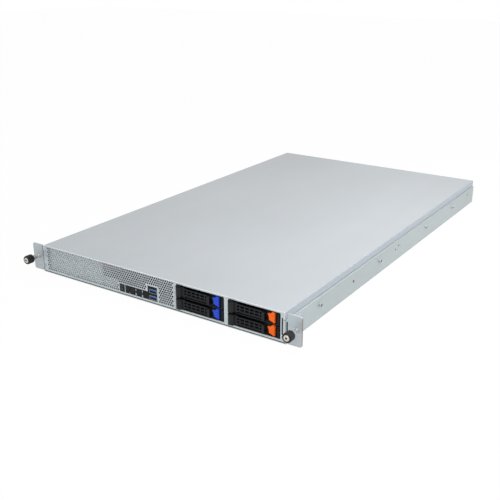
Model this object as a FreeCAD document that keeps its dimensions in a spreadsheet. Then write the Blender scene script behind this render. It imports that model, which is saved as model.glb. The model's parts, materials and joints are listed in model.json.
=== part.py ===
"""A 1U rack server: chassis, front panels, drive trays, cooling, boards and power supplies.

Frame: origin on the resting face, mid-width, in the rack mounting plane (rear face of the ears).
+X is to the right seen from the front, +Y runs to the rear and +Z is up. Millimetres.
"""
import FreeCAD, Part
import math
import os
import re

import Sketcher

# Driving sizes: alias, value, meaning. Each is written once, here.
SIZES = [
    ("chassis_height", 43.5, "outer height with the cover on"),
    ("chassis_depth", 730.0, "front face to rear face"),
    ("front_proud", 3.0, "front face ahead of the rack plane"),
    ("wall_gauge", 1.2, "sheet of the tray and front panels"),
    ("cover_gauge", 1.0, "sheet of the top cover"),
    ("fit_gap", 0.3, "clearance between pieces that seat on each other"),
    ("lower_wall", 32.0, "height of the full-width side wall"),
    ("band_inset", 2.0, "how far the cover flange stands in from the lower wall"),
    ("joggle_rise", 1.2, "height of the sloping joggle"),
    ("rack_width", 482.6, "over both ears"),
    ("hole_edge", 8.75, "rack hole from the edge of the ear"),
    ("ear_overhang", 22.3, "edge of the ear from the lower side wall"),
    ("ear_gauge", 2.0, "ear plate"),
    ("ear_height", 42.0, "ear plate height"),
    ("ear_lift", 0.8, "ear lower edge above the resting face"),
    ("ear_corner", 3.0, "ear outer corner radius"),
    ("ear_slot", 1.8, "slot between the lower wall and the ear"),
    ("ear_flange", 1.6, "flange sheet of the ear"),
    ("ear_reach", 30.0, "flange length behind the ear plate"),
    ("ear_joggle", 10.0, "where the flange steps in to the wall"),
    ("screw_height", 22.2, "thumbscrew axis above the resting face"),
    ("ferrule_radius", 5.0, "flange of the ferrule"),
    ("screw_head", 4.3, "captive screw head"),
    ("socket_radius", 1.9, "hexagon socket, over its corners"),
    ("socket_depth", 1.6, "hexagon socket"),
    ("head_length", 2.5, "captive screw head"),
    ("sleeve_radius", 3.7, "ferrule sleeve"),
    ("sleeve_length", 12.4, "ferrule sleeve ahead of the ear"),
    ("screw_radius", 2.5, "captive screw thread"),
    ("screw_neck", 2.2, "captive screw neck, in the ferrule and the ring"),
    ("neck_end", 1.5, "end of the neck behind the ear"),
    ("screw_reach", 9.0, "captive screw tip behind the ear"),
    ("ring_gap", 0.5, "retaining ring behind the ear"),
    ("ring_gauge", 0.8, "retaining ring"),
    ("knob_radius", 6.75, "over the knurl"),
    ("knob_length", 12.0, "knob"),
    ("knob_face", 24.0, "knob face ahead of the ear plate"),
    ("knurl_count", 16.0, "ridges of the knurl"),
    ("stud_radius", 2.5, "rail stud shank"),
    ("stud_reach", 3.4, "rail stud length from the wall"),
    ("stud_height", 21.3, "rail stud axis height"),
    ("stud_first", 84.0, "first rail stud behind the rack plane"),
    ("stud_pitch", 192.0, "between the first three studs"),
    ("stud_last", 604.0, "last rail stud"),
    ("side_hole", 1.6, "rail lock hole in the side walls"),
    ("hole_step", 103.0, "rail lock hole behind the first stud"),
    ("hole_drop", 3.0, "rail lock hole below the studs"),
    ("pin_hole", 1.2, "small holes in the side walls"),
    ("vent_margin", 7.0, "plain margin left of the mesh"),
    ("vent_edge", 3.2, "plain edge above and below the mesh"),
    ("hex_pitch", 8.8, "honeycomb pitch"),
    ("hex_flats", 7.6, "honeycomb hole across flats"),
    ("panel_flange", 12.0, "return flanges of the front panels"),
    ("side_slot_inset", 1.6, "slot in the vent panel, from its left edge"),
    ("side_slot_width", 1.2, "slot in the vent panel"),
    ("side_slot_low", 7.4, "slot in the vent panel, lower end"),
    ("side_slot_high", 11.8, "slot in the vent panel, upper end"),
    ("strip_width", 70.9, "control strip and port block together"),
    ("strip_low", 5.0, "lower edge of the control strip and the port block"),
    ("strip_high", 17.3, "control strip upper edge"),
    ("port_margin", 30.8, "port block from the right edge of the vent panel"),
    ("port_width", 17.1, "port block"),
    ("port_high", 26.4, "port block upper edge"),
    ("moulding_depth", 15.0, "front moulding depth"),
    ("usb_width", 13.2, "socket shell outer width"),
    ("usb_height", 5.9, "socket shell outer height"),
    ("usb_skin", 0.35, "socket shell sheet"),
    ("usb_low", 6.2, "lower socket lower face"),
    ("usb_step", 9.9, "between the sockets"),
    ("usb_inset", 7.6, "socket centre line from the right edge of the port block"),
    ("button_width", 6.6, "front buttons"),
    ("button_height", 8.6, "front buttons"),
    ("button_depth", 7.0, "front buttons"),
    ("button_gap", 0.25, "round the buttons"),
    ("bay_post", 3.5, "bay frame left of the left bay"),
    ("bay_right", 6.8, "bay frame right of the right bay"),
    ("bay_gap", 6.4, "bay frame between the bays"),
    ("bay_wall", 5.175, "drive bay beside the drive"),
    ("bay_under", 0.7, "drive bay under the lower carrier"),
    ("bay_over", 1.1, "drive bay over the upper carrier"),
    ("bay_low", 4.6, "drive bay opening lower edge"),
    ("panel_gap", 0.2, "between the vent panel and the bay frame"),
    ("tray_gap", 1.6, "between stacked carriers"),
    ("tray_side_gap", 0.5, "carrier beside the cage wall"),
    ("carrier_bevel", 1.5, "bevel along the carrier edges"),
    ("carrier_floor", 0.8, "floor of the carrier"),
    ("tray_length", 108.0, "carrier behind its front plate"),
    ("drive_width", 69.85, "drive held by a carrier"),
    ("drive_height", 15.0, "drive held by a carrier"),
    ("drive_gap", 0.3, "round the drive"),
    ("cage_skin", 1.3, "drive cage sheet"),
    ("shelf_gauge", 0.7, "shelf between stacked trays"),
    ("cage_length", 119.0, "drive cage behind the front panel"),
    ("cage_foot", 8.0, "feet under the cage floor"),
    ("barrel_radius", 5.2, "lever hinge barrel"),
    ("barrel_margin", 5.5, "lever pivot from the side of the bay"),
    ("pivot_depth", 0.4, "lever pivot behind the front face"),
    ("pin_radius", 1.5, "lever hinge pin"),
    ("pin_fit", 0.06, "running clearance round the pin"),
    ("lug_gauge", 1.2, "hinge lugs of the carrier"),
    ("lever_gauge", 2.2, "lever plate"),
    ("latch_gap", 4.0, "finger recess between the lever and the latch"),
    ("slot_width", 5.2, "lever grille slot"),
    ("slot_height", 2.7, "lever grille slot"),
    ("slot_pitch", 7.4, "between the slots of a row"),
    ("slot_rows", 4.8, "between the two rows"),
    ("slot_first", -25.6, "first slot from the bay centre"),
    ("latch_room", 3.2, "between the latch and the fixed bar"),
    ("latch_width", 11.0, "latch"),
    ("latch_gauge", 3.4, "latch thickness"),
    ("latch_travel", 2.5, "latch travel"),
    ("bar_margin", 1.3, "fixed bar from the side of the bay"),
    ("bar_width", 4.2, "fixed bar beside the latch"),
    ("tag_gauge", 1.0, "information tag"),
    ("tag_low", 12.2, "information tag lower edge"),
    ("tag_height", 23.0, "information tag"),
    ("tag_length", 62.0, "information tag"),
    ("tag_gap", 0.1, "round the information tag"),
    ("backplane_gauge", 1.6, "circuit boards"),
    ("riser_margin", 8.8, "riser cage from the left wall"),
    ("riser_width", 112.0, "riser cage"),
    ("fan_start", 150.0, "fan row"),
    ("fan_size", 40.0, "fan frame height and width"),
    ("fan_depth", 56.0, "fan frame depth"),
    ("fan_bore", 18.8, "fan duct radius"),
    ("fan_pitch", 84.0, "between fans"),
    ("rotor_radius", 18.0, "blade tip radius"),
    ("hub_radius", 9.0, "rotor hub"),
    ("rotor_depth", 20.0, "rotor along its shaft"),
    ("board_margin", 9.8, "motherboard from the left wall"),
    ("board_gap", 5.65, "motherboard from the power supplies"),
    ("board_depth", 330.0, "motherboard"),
    ("standoff_height", 4.0, "standoffs"),
    ("standoff_radius", 2.6, "standoffs"),
    ("sink_width", 78.0, "heatsink"),
    ("sink_depth", 106.0, "heatsink"),
    ("sink_height", 27.0, "heatsink"),
    ("sink_base", 4.0, "heatsink base plate"),
    ("sink_fins", 9.0, "fins of a heatsink"),
    ("fin_gauge", 1.2, "heatsink fin"),
    ("dimm_length", 133.4, "memory module"),
    ("dimm_height", 31.2, "memory module"),
    ("dimm_gauge", 1.3, "memory module"),
    ("dimm_pitch", 9.0, "between memory sockets"),
    ("dimm_clear", 16.5, "least room between a heatsink and the first socket"),
    ("socket_width", 6.5, "memory socket"),
    ("socket_height", 7.5, "memory socket"),
    ("supply_width", 73.5, "power supply"),
    ("supply_height", 39.4, "power supply"),
    ("supply_length", 185.0, "power supply"),
    ("supply_gap", 2.1, "between the power supplies"),
    ("supply_side", 5.05, "outer power supply from the right wall"),
    ("supply_low", 1.6, "power supply lower face"),
    ("handle_reach", 18.0, "power supply handle behind the rear face"),
    ("knurl_depth", 0.6, "grooves of the knob"),
    ("hex_corner", 1.155, "corner radius of a hexagon against its half width across flats"),
    ("pin_first", 255.0, "first small side hole from the first stud"),
    ("pin_second", 266.0, "second small side hole from the first stud"),
    ("pin_last", 88.0, "last small side hole behind the last stud"),
    ("pin_offset", 2.0, "small side holes above or below the line of the studs"),
    ("window_gap", 0.05, "round an indicator window"),
    ("window_first", 3.8, "double window from the left of the strip"),
    ("window_second", 31.4, "first small window from the left of the strip"),
    ("window_third", 43.4, "second small window from the left of the strip"),
    ("window_high", 13.6, "upper part of the double window"),
    ("window_middle", 10.6, "small windows"),
    ("window_low", 8.8, "lower part of the double window"),
    ("window_width", 5.0, "part of the double window"),
    ("window_height", 3.6, "part of the double window"),
    ("window_small", 1.8, "small window"),
    ("button_first", 15.4, "first button from the left of the strip"),
    ("button_second", 25.3, "second button from the left of the strip"),
    ("button_third", 36.9, "third button from the left of the strip"),
    ("button_proud", 0.3, "button before the front sheet"),
    ("button_bevel", 0.5, "edge of a button"),
    ("tongue_low", 2.5, "front USB tongue under its shell, lower face"),
    ("tongue_high", 0.6, "front USB tongue under its shell, upper face"),
    ("stem_inset", 3.0, "latch stem from the left of the latch"),
    ("stem_width", 4.0, "latch stem"),
    ("stem_height", 4.0, "latch stem"),
    ("stem_reach", 1.4, "latch stem in the seat"),
    ("stem_slot", 1.8, "depth of the slot for the stem"),
    ("stem_gap", 0.2, "between the stem and its slot"),
    ("tip_gap", 0.8, "lever tip to the latch bar, and tip before the lever"),
    ("tip_width", 3.0, "raised tip of the lever"),
    ("lug_reach", 3.6, "hinge lug past the pin"),
    ("floor_opening", 48.0, "opening in the carrier floor"),
    ("floor_rim", 18.0, "carrier floor before and behind the opening"),
    ("air_inset", 8.0, "air opening of the carrier front from the hinge pin"),
    ("air_end", 6.0, "air opening of the carrier front from the lever tip"),
    ("air_rim", 3.6, "carrier front above and below its air opening"),
    ("knuckle_gap", 0.15, "lever knuckle to the lugs"),
    ("lever_edge", 0.2, "lever inside the height of the tray"),
    ("slot_columns", 6.0, "columns of slots in the lever"),
    ("latch_edge", 0.8, "latch inside the height of the tray"),
    ("scoop_offset", 5.0, "middle of the finger scoop left of the latch"),
    ("scoop_radius", 8.6, "finger scoop"),
    ("notch_radius", 2.2, "notch on top of the latch"),
    ("plug_width", 44.0, "drive connector on the backplane"),
    ("plug_height", 5.0, "drive connector on the backplane"),
    ("plug_lift", 3.0, "drive connector above the underside of its tray"),
    ("riser_setback", 3.8, "riser cage behind the front sheet"),
    ("riser_foot", 6.0, "feet of the riser cage"),
    ("touch_width", 13.0, "touch tab of the riser cage"),
    ("touch_depth", 12.0, "touch tab of the riser cage"),
    ("touch_gauge", 3.8, "touch tab of the riser cage"),
    ("touch_drop", 3.2, "touch tab under the top of the tray"),
    ("cable_width", 10.0, "flat signal cable"),
    ("cable_gauge", 0.8, "flat signal cable"),
    ("cable_room", 3.0, "opening of the fan wall above the floor"),
    ("cable_top", 14.0, "cable on the front board"),
    ("cable_stand", 10.0, "cable before the motherboard"),
    ("cable_end", 6.0, "cable on the motherboard"),
    ("rotor_start", 7.0, "rotor behind the front of the fan"),
    ("boss_depth", 10.0, "motor boss of the fan behind the rotor"),
    ("strut_gauge", 2.0, "strut of the fan"),
    ("fan_blades", 5.0, "blades of a rotor"),
    ("fan_blade_gauge", 1.2, "blade of a rotor"),
    ("fan_blade_pitch", 35.0, "angle of a blade, degrees"),
    ("post_inset", 8.0, "standoffs and memory sockets from the board's edges"),
    ("post_rear", 30.0, "last standoffs from the back of the motherboard"),
    ("sink_inset", 4.0, "left heatsink from the edge of the motherboard"),
    ("sink_margin", 10.0, "right heatsink from the edge of the motherboard"),
    ("sink_start", 20.0, "heatsinks from the front of the motherboard"),
    ("pedestal_height", 3.0, "pedestal under a heatsink"),
    ("pedestal_inset", 11.0, "pedestal from the side of its heatsink"),
    ("pedestal_start", 25.0, "pedestal from the front of its heatsink"),
    ("pedestal_depth", 56.0, "pedestal under a heatsink"),
    ("socket_end", 4.0, "end of a memory socket beyond its module"),
    ("dimm_lift", 1.8, "module above the motherboard"),
    ("dimm_gap", 0.1, "between a module and its socket"),
    ("duct_reach", 150.0, "end of the air duct behind the front of the motherboard"),
    ("handle_gauge", 4.0, "legs and bar of the handle"),
    ("handle_left", 33.0, "handle from the middle of the power supply, left leg"),
    ("handle_right", 28.0, "handle from the middle of the power supply, right leg"),
    ("handle_drop", 4.0, "handle bar under the top of the power supply"),
    ("handle_height", 5.0, "handle bar"),
    ("inlet_left", 32.0, "mains inlet recess from the middle of the power supply"),
    ("inlet_width", 24.4, "mains inlet recess"),
    ("inlet_height", 16.6, "mains inlet recess"),
    ("inlet_depth", 15.0, "mains inlet recess"),
    ("inlet_lift", 5.0, "recess and vents above the bottom of the power supply"),
    ("blade_gap", 5.0, "inlet blades from the middle one"),
    ("blade_gauge", 2.0, "inlet blade"),
    ("blade_height", 4.0, "inlet blade"),
    ("blade_short", 3.0, "inlet blade end inside the recess"),
    ("vent_count", 6.0, "vents of a power supply"),
    ("vent_first", -3.0, "first vent from the middle of the power supply"),
    ("vent_width", 3.0, "power supply vent"),
    ("vent_pitch", 5.0, "between power supply vents"),
    ("vent_height", 22.0, "power supply vent"),
    ("vent_depth", 4.0, "power supply vent"),
    ("notch_width", 6.4, "recess of the release latch"),
    ("notch_depth", 14.0, "recess of the release latch"),
    ("notch_low", 8.0, "recess of the release latch, above the bottom"),
    ("notch_height", 18.0, "recess of the release latch"),
    ("release_gauge", 3.0, "release latch"),
    ("release_gap", 0.4, "above and below the release latch"),
    ("release_reach", 9.0, "release latch behind the rear face"),
    ("rear_slots", 12.0, "vent slots over the ports"),
    ("rear_slot_first", 3.0, "first vent slot from the edge of the motherboard"),
    ("rear_slot_width", 8.0, "rear vent slot"),
    ("rear_slot_pitch", 12.0, "between rear vent slots"),
    ("rear_slot_low", 24.0, "rear vent slot lower end"),
    ("rear_slot_high", 38.0, "rear vent slot upper end"),
    ("blank_slots", 6.0, "slots in the blank part of the rear panel"),
    ("blank_first", 82.85, "first of them from the right edge of the panel"),
    ("blank_width", 5.0, "slot in the blank part"),
    ("blank_pitch", 9.0, "between the slots in the blank part"),
    ("blank_low", 10.0, "slot in the blank part, lower end"),
    ("blank_high", 34.0, "slot in the blank part, upper end"),
    ("jack_first", 56.5, "first network jack from the edge of the motherboard"),
    ("jack_pitch", 17.0, "between the network jacks"),
    ("jack_margin", 9.0, "jack block beyond the middle of its outer jacks"),
    ("jack_height", 13.4, "jack block"),
    ("mouth_width", 11.9, "mouth of a jack"),
    ("mouth_low", 2.4, "mouth of a jack or display socket above the board"),
    ("mouth_height", 8.2, "mouth of a jack"),
    ("mouth_depth", 13.0, "mouth of a jack"),
    ("rear_port_first", 96.0, "rear USB block from the edge of the motherboard"),
    ("rear_port_depth", 21.0, "rear port blocks on the board"),
    ("rear_usb_width", 14.0, "rear USB block"),
    ("rear_usb_height", 16.0, "rear USB block"),
    ("rear_usb_low", 1.4, "lower rear USB mouth above the board"),
    ("rear_usb_step", 7.8, "between the rear USB mouths"),
    ("rear_usb_skin", 0.8, "side of the rear USB block"),
    ("rear_usb_mouth", 5.2, "rear USB mouth height"),
    ("rear_usb_depth", 12.0, "rear USB mouth"),
    ("rear_tongue_low", 2.8, "tongue above the bottom of its mouth"),
    ("rear_tongue", 1.8, "rear USB tongue"),
    ("display_gap", 3.0, "between the USB block and the display socket"),
    ("display_width", 31.0, "display socket"),
    ("display_height", 12.5, "display socket"),
    ("display_inset", 7.3, "mouth of the display socket from its sides"),
    ("display_mouth", 7.8, "mouth of the display socket, height"),
    ("display_depth", 6.0, "mouth of the display socket"),
    ("core_gap", 1.0, "round the core of the display socket"),
]

# Places and sizes worked out from the driving sizes.
PLACES = {
    "front_face": "-front_proud",
    "rear_face": "chassis_depth - front_proud",
    "ear_edge": "rack_width / 2",
    "half_width": "ear_edge - ear_overhang",
    "inner_wall": "half_width - wall_gauge",
    "band_face": "half_width - band_inset",
    "upper_out": "band_face - cover_gauge - fit_gap",
    "upper_in": "upper_out - wall_gauge",
    "tray_top": "chassis_height - cover_gauge - fit_gap",
    "joggle_top": "lower_wall + joggle_rise",
    "joggle_skin": "wall_gauge * 0.7",
    "panel_low": "wall_gauge + fit_gap",
    "panel_back": "front_face + wall_gauge",
    "panel_side": "inner_wall - fit_gap",
    "slot_in": "half_width + ear_slot",
    "slot_out": "slot_in + ear_flange",
    "ear_top": "ear_lift + ear_height",
    "screw_side": "ear_edge - hole_edge",
    "face_end": "-ear_gauge - knob_face",
    "knob_back": "face_end + knob_length",
    "sleeve_front": "-ear_gauge - sleeve_length",
    "port_right": "vent_split - port_margin",
    "port_left": "port_right - port_width",
    "strip_left": "port_right - strip_width",
    "usb_left": "port_right - usb_inset - usb_width / 2",
    "button_low": "(strip_low + strip_high - button_height) / 2",
    "tag_right": "upper_in - fit_gap",
    "tag_left": "tag_right - tag_gauge",
    "bay_width": "drive_width + 2 * bay_wall",
    "tray_height": "drive_height + 2 * carrier_floor",
    "tray_pitch": "tray_height + tray_gap",
    "tray_low": "bay_low + bay_under",
    "bay_height": "bay_under + tray_pitch + tray_height + bay_over",
    "barrel_inset": "bay_width / 2 - barrel_margin",
    "bar_left": "bay_width / 2 - bar_margin - bar_width",
    "latch_left": "bar_left - latch_room - latch_width",
    "lever_tip": "latch_left - latch_gap",
    "bay_pitch": "bay_width + bay_gap",
    "bay_first": "panel_side - bay_right - bay_width / 2 - bay_pitch",
    "vent_split": "bay_first - bay_width / 2 - bay_post",
    "bay_top": "bay_low + bay_height",
    "cage_front": "panel_back",
    "cage_back": "cage_front + cage_length",
    "cage_side": "bay_width / 2 + fit_gap",
    "carrier_side": "cage_side - tray_side_gap",
    "carrier_front": "pivot_y + barrel_radius + fit_gap",
    "seat_face": "latch_back + fit_gap",
    "plate_back": "carrier_front + 2.4",
    "cage_top": "tray_low + tray_pitch + tray_height + 0.5 + cage_skin",
    "carrier_back": "carrier_front + tray_length",
    "shelf_z": "tray_low + tray_pitch - fit_gap - shelf_gauge",
    "pivot_y": "front_face + pivot_depth",
    "lever_front": "front_face - 0.4",
    "lever_back": "lever_front + lever_gauge",
    "latch_front": "front_face",
    "latch_back": "latch_front + latch_gauge",
    "fan_end": "fan_start + fan_depth",
    "fan_low": "wall_gauge + fit_gap",
    "supply_pitch": "supply_width + supply_gap",
    "supply_first": "inner_wall - supply_side - supply_width / 2 - supply_pitch",
    "board_left": "board_margin - inner_wall",
    "board_width": "supply_first - supply_width / 2 - board_gap - board_left",
    "board_back": "rear_face - wall_gauge - fit_gap",
    "board_front": "board_back - board_depth",
    "board_low": "wall_gauge + standoff_height",
    "board_top": "board_low + backplane_gauge",
    "supply_top": "supply_low + supply_height",
    "supply_front": "rear_face - supply_length",
    "supply_back": "rear_face",
}

NAMES = {name for name, _, _ in SIZES}
WORD = re.compile(r"[a-z][a-z_]*")

NEAR = 1e-3

doc = FreeCAD.newDocument("rack_server")
sheet = doc.addObject("Spreadsheet::Sheet", "Sizes")
for row, (alias, number, meaning) in enumerate(SIZES, start=1):
    sheet.set(f"A{row}", alias)
    sheet.set(f"B{row}", str(number))
    sheet.set(f"C{row}", meaning)
    sheet.setAlias(f"B{row}", alias)
doc.recompute()

nodes = []


def formula(text):
    """An expression in sheet references, from one in plain names."""
    def swap(match):
        word = match[0]
        if word in PLACES:
            return "(" + formula(PLACES[word]) + ")"
        return "Sizes." + word if word in NAMES else word
    return WORD.sub(swap, str(text))


def value(text):
    """The present value of an expression in plain names, in millimetres."""
    return float(sheet.evalExpression(formula(text)))


def bind(thing, **properties):
    """Tie properties to the sheet; a double underscore stands for a dot."""
    for name, text in properties.items():
        thing.setExpression(name.replace("__", "."), formula(text))


def keep(thing, name):
    """Name a finished sub-part and mark it for export."""
    thing.Label = name
    nodes.append(thing)
    return thing


def box(x, y, z, name="block"):
    """A block from (low, high) pairs along each axis."""
    block = doc.addObject("Part::Box", name)
    bind(block, Length=f"({x[1]}) - ({x[0]})", Width=f"({y[1]}) - ({y[0]})",
         Height=f"({z[1]}) - ({z[0]})")
    bind(block, Placement__Base__x=x[0], Placement__Base__y=y[0], Placement__Base__z=z[0])
    return block


TURNS = {
    "X": FreeCAD.Rotation(FreeCAD.Vector(0, 1, 0), 90),
    "Y": FreeCAD.Rotation(FreeCAD.Vector(1, 0, 0), -90),
    "Z": FreeCAD.Rotation(),
}


def place_along(thing, axis, start, centre):
    """Stand a primitive along an axis; centre gives its other two coordinates in X, Y, Z order."""
    thing.Placement = FreeCAD.Placement(FreeCAD.Vector(), TURNS[axis])
    spots = list(centre)
    spots.insert("XYZ".index(axis), start)
    bind(thing, Placement__Base__x=spots[0], Placement__Base__y=spots[1], Placement__Base__z=spots[2])


def rod(axis, span, centre, radius, name="rod"):
    """A cylinder along an axis, from span[0] to span[1]."""
    cylinder = doc.addObject("Part::Cylinder", name)
    bind(cylinder, Radius=radius, Height=f"({span[1]}) - ({span[0]})")
    place_along(cylinder, axis, span[0], centre)
    return cylinder


def prism(axis, span, centre, circumradius, sides=6, name="prism"):
    """A regular prism along an axis."""
    made = doc.addObject("Part::Prism", name)
    made.Polygon = sides
    bind(made, Circumradius=circumradius, Height=f"({span[1]}) - ({span[0]})")
    place_along(made, axis, span[0], centre)
    return made


def fuse(*shapes, name="joined"):
    made = doc.addObject("Part::MultiFuse", name)
    made.Shapes = list(shapes)
    made.Refine = True
    return made


def cut(base, *tools, name="cut"):
    made = doc.addObject("Part::Cut", name)
    made.Base = base
    made.Tool = tools[0] if len(tools) == 1 else doc.addObject("Part::MultiFuse", "tools")
    if len(tools) > 1:
        made.Tool.Shapes = list(tools)
    made.Refine = True
    return made


def group(shapes, name):
    made = doc.addObject("Part::Compound", name)
    made.Links = list(shapes)
    return keep(made, name)


def origin_plane(body, role):
    return next(item for item in body.Origin.OriginFeatures if item.Role == role)


def outline(body, role, points, start="0"):
    """A closed polygon sketch with every corner tied to the sheet."""
    sketch = body.newObject("Sketcher::SketchObject", body.Name + "_outline")
    sketch.AttachmentSupport = (origin_plane(body, role), [""])
    sketch.MapMode = "FlatFace"
    bind(sketch, AttachmentOffset__Base__z=start)
    corners = [FreeCAD.Vector(value(a), value(b), 0) for a, b in points]
    for index, corner in enumerate(corners):
        sketch.addGeometry(Part.LineSegment(corner, corners[(index + 1) % len(corners)]))
    for index, (across, along) in enumerate(points):
        before = (index - 1) % len(points)
        sketch.addConstraint(Sketcher.Constraint("Coincident", before, 2, index, 1))
        for kind, text in (("DistanceX", across), ("DistanceY", along)):
            number = sketch.addConstraint(Sketcher.Constraint(kind, -1, 1, index, 1, value(text)))
            sketch.setExpression(f"Constraints[{number}]", formula(text))
    return sketch


def pad(body, sketch, length, backwards=False):
    made = body.newObject("PartDesign::Pad", body.Name + "_pad")
    made.Profile = sketch
    made.Reversed = backwards
    bind(made, Length=length)
    doc.recompute()
    return made


def round_edges(body, radius, wanted):
    """Fillet the edges of a body that the test picks."""
    edges = [f"Edge{index}" for index, edge in enumerate(body.Shape.Edges, start=1) if wanted(edge)]
    before = body.Tip
    made = body.newObject("PartDesign::Fillet", body.Name + "_round")
    made.Base = (before, edges)
    bind(made, Radius=radius)
    doc.recompute()
    return made


def mirrored(points):
    """A half outline and its mirror image, as one closed outline."""
    return points + [("-(%s)" % across, along) for across, along in reversed(points)]


def new_body(name):
    return doc.addObject("PartDesign::Body", name + "_sheet")


def runs_along(edge, axis):
    """Whether a straight edge lies along an axis."""
    if len(edge.Vertexes) < 2:
        return False
    direction = edge.Vertexes[1].Point - edge.Vertexes[0].Point
    return abs(abs(getattr(direction, axis)) - direction.Length) < 1e-6


# ---- chassis sheet metal -------------------------------------------------------------------

STUD_PLACES = ["stud_first", "stud_first + stud_pitch", "stud_first + 2 * stud_pitch", "stud_last"]
PIN_HOLES = [
    ("stud_first + pin_first", "stud_height - pin_offset"),
    ("stud_first + pin_second", "stud_height + pin_offset"),
    ("stud_last + pin_last", "stud_height + pin_offset"),
]


def make_tray():
    """Base pan: floor and two side walls that step in above the lower wall."""
    body = new_body("chassis_tray")
    half = [
        ("half_width", "0"), ("half_width", "lower_wall"),
        ("upper_out", "joggle_top"), ("upper_out", "tray_top"),
        ("upper_in", "tray_top"), ("upper_in", "joggle_top - joggle_skin"),
        ("inner_wall", "lower_wall - joggle_skin"), ("inner_wall", "wall_gauge"),
    ]
    section = outline(body, "XZ_Plane", mirrored(half), start="-(front_face)")
    pad(body, section, "chassis_depth", backwards=True)
    across = ("-inner_wall", "inner_wall")
    high = ("lower_wall - wall_gauge", "chassis_height")
    room = "wall_gauge + fit_gap"
    tools = [
        box(across, ("front_face - 1", f"front_face + {room}"), high),
        box(across, (f"rear_face - ({room})", "rear_face + 1"), high),
    ]
    across = ("-half_width - 1", "half_width + 1")
    tools.append(rod("X", across, ("stud_first + hole_step", "stud_height - hole_drop"), "side_hole"))
    tools += [prism("X", across, place, "pin_hole", sides=8) for place in PIN_HOLES]
    keep(cut(body, *tools, name="tray_cut"), "chassis_tray")


def make_cover():
    """Plain top sheet with rounded long edges, and the flange folded down from each."""
    depth = ("front_face", "rear_face")
    bend = "chassis_height - cover_gauge"
    plate = doc.addObject("Part::Fillet", "cover_plate")
    plate.Base = box(("-(band_face)", "band_face"), depth, (bend, "chassis_height"))
    edges = enumerate(cap_edges(plate.Base), start=1)
    top, radius = value("chassis_height"), value("cover_gauge * 0.9")
    plate.Edges = [(i, radius, radius) for i, edge in edges
                   if runs_along(edge, "y") and abs(edge.CenterOfMass.z - top) < NEAR]
    sides = (("-(band_face)", "-(band_face) + cover_gauge"), ("band_face - cover_gauge", "band_face"))
    flanges = [box(side, depth, ("joggle_top + fit_gap", bend)) for side in sides]
    group([plate, *flanges], "top_cover")


def make_ear(side, name):
    """Angle bracket: plate with rounded outer corners, flange stepped in to the side wall."""
    sign = "" if side > 0 else "-"

    def place(text):
        return f"{sign}({text})"

    body = new_body(name)
    flange = [
        (place("slot_in"), "-ear_gauge"), (place("slot_out"), "-ear_gauge"),
        (place("slot_out"), "ear_joggle"), (place("half_width + ear_flange"), "ear_joggle + ear_slot"),
        (place("half_width + ear_flange"), "ear_reach"),
        (place("half_width"), "ear_reach"), (place("half_width"), "ear_joggle + ear_slot - 0.7"),
        (place("slot_in"), "ear_joggle - 0.7"),
    ]
    pad(body, outline(body, "XY_Plane", flange, start="ear_lift"), "lower_wall - 1 - ear_lift")
    plate = [
        (place("slot_in"), "ear_lift"), (place("ear_edge"), "ear_lift"), (place("ear_edge"), "ear_top"),
        (place("slot_in"), "ear_top"), (place("slot_in"), "joggle_top + fit_gap"),
        (place("half_width + fit_gap"), "joggle_top + fit_gap"),
        (place("half_width + fit_gap"), "lower_wall - 1"), (place("slot_in"), "lower_wall - 1"),
    ]
    pad(body, outline(body, "XZ_Plane", plate, start="0"), "ear_gauge")
    edge = value("ear_edge")
    round_edges(body, "ear_corner",
                lambda e: runs_along(e, "y") and abs(abs(e.CenterOfMass.x) - edge) < NEAR)
    hole = rod("Y", ("-ear_gauge - 1", "1"), (place("screw_side"), "screw_height"), "screw_radius + 0.5")
    keep(cut(body, hole, name=name + "_cut"), name)


def make_studs():
    """Rail studs along both side walls."""
    studs = []
    for sign in ("", "-"):
        for place in STUD_PLACES:
            span = (f"{sign}(half_width)", f"{sign}(half_width + stud_reach)")
            studs.append(rod("X", span[::-1] if sign else span, (place, "stud_height"), "stud_radius"))
    group(studs, "rail_studs")


# ---- captive thumbscrews -------------------------------------------------------------------



def make_ferrules():
    """Ferrules: guide sleeves standing on the ear plates."""
    ferrules = []
    for sign in ("", "-"):
        centre = (f"{sign}(screw_side)", "screw_height")
        sleeve = rod("Y", ("sleeve_front", "-ear_gauge"), centre, "sleeve_radius")
        bore = rod("Y", ("sleeve_front - 1", "1"), centre, "screw_radius + pin_fit")
        ferrules.append(cut(sleeve, bore))
    group(ferrules, "ear_ferrules")


def knurl_wire(centre_x, centre_z, y):
    """Ridged outline of the knob."""
    count = int(value("knurl_count"))
    outer = value("knob_radius")
    points = []
    for index in range(2 * count):
        radius = outer if index % 2 == 0 else outer - value("knurl_depth")
        turn = math.pi * index / count
        across, rise = radius * math.cos(turn), radius * math.sin(turn)
        points.append(FreeCAD.Vector(centre_x + across, y, centre_z + rise))
    return Part.makePolygon(points + points[:1])


def make_knob(sign, name):
    """Knurled plastic knob, pressed on the screw head and open behind it for the sleeve."""
    x, z = value(f"{sign}(screw_side)"), value("screw_height")
    face, back = value("face_end"), value("knob_back")
    grip = doc.addObject("Part::Feature", name + "_grip")
    grip.Shape = Part.Face(knurl_wire(x, z, face)).extrude(FreeCAD.Vector(0, back - face, 0))
    centre = (f"{sign}(screw_side)", "screw_height")
    bore = rod("Y", ("face_end - 1", "knob_back + 1"), centre, "screw_head + pin_fit")
    keep(cut(grip, bore, name=name + "_cut"), name)


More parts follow.
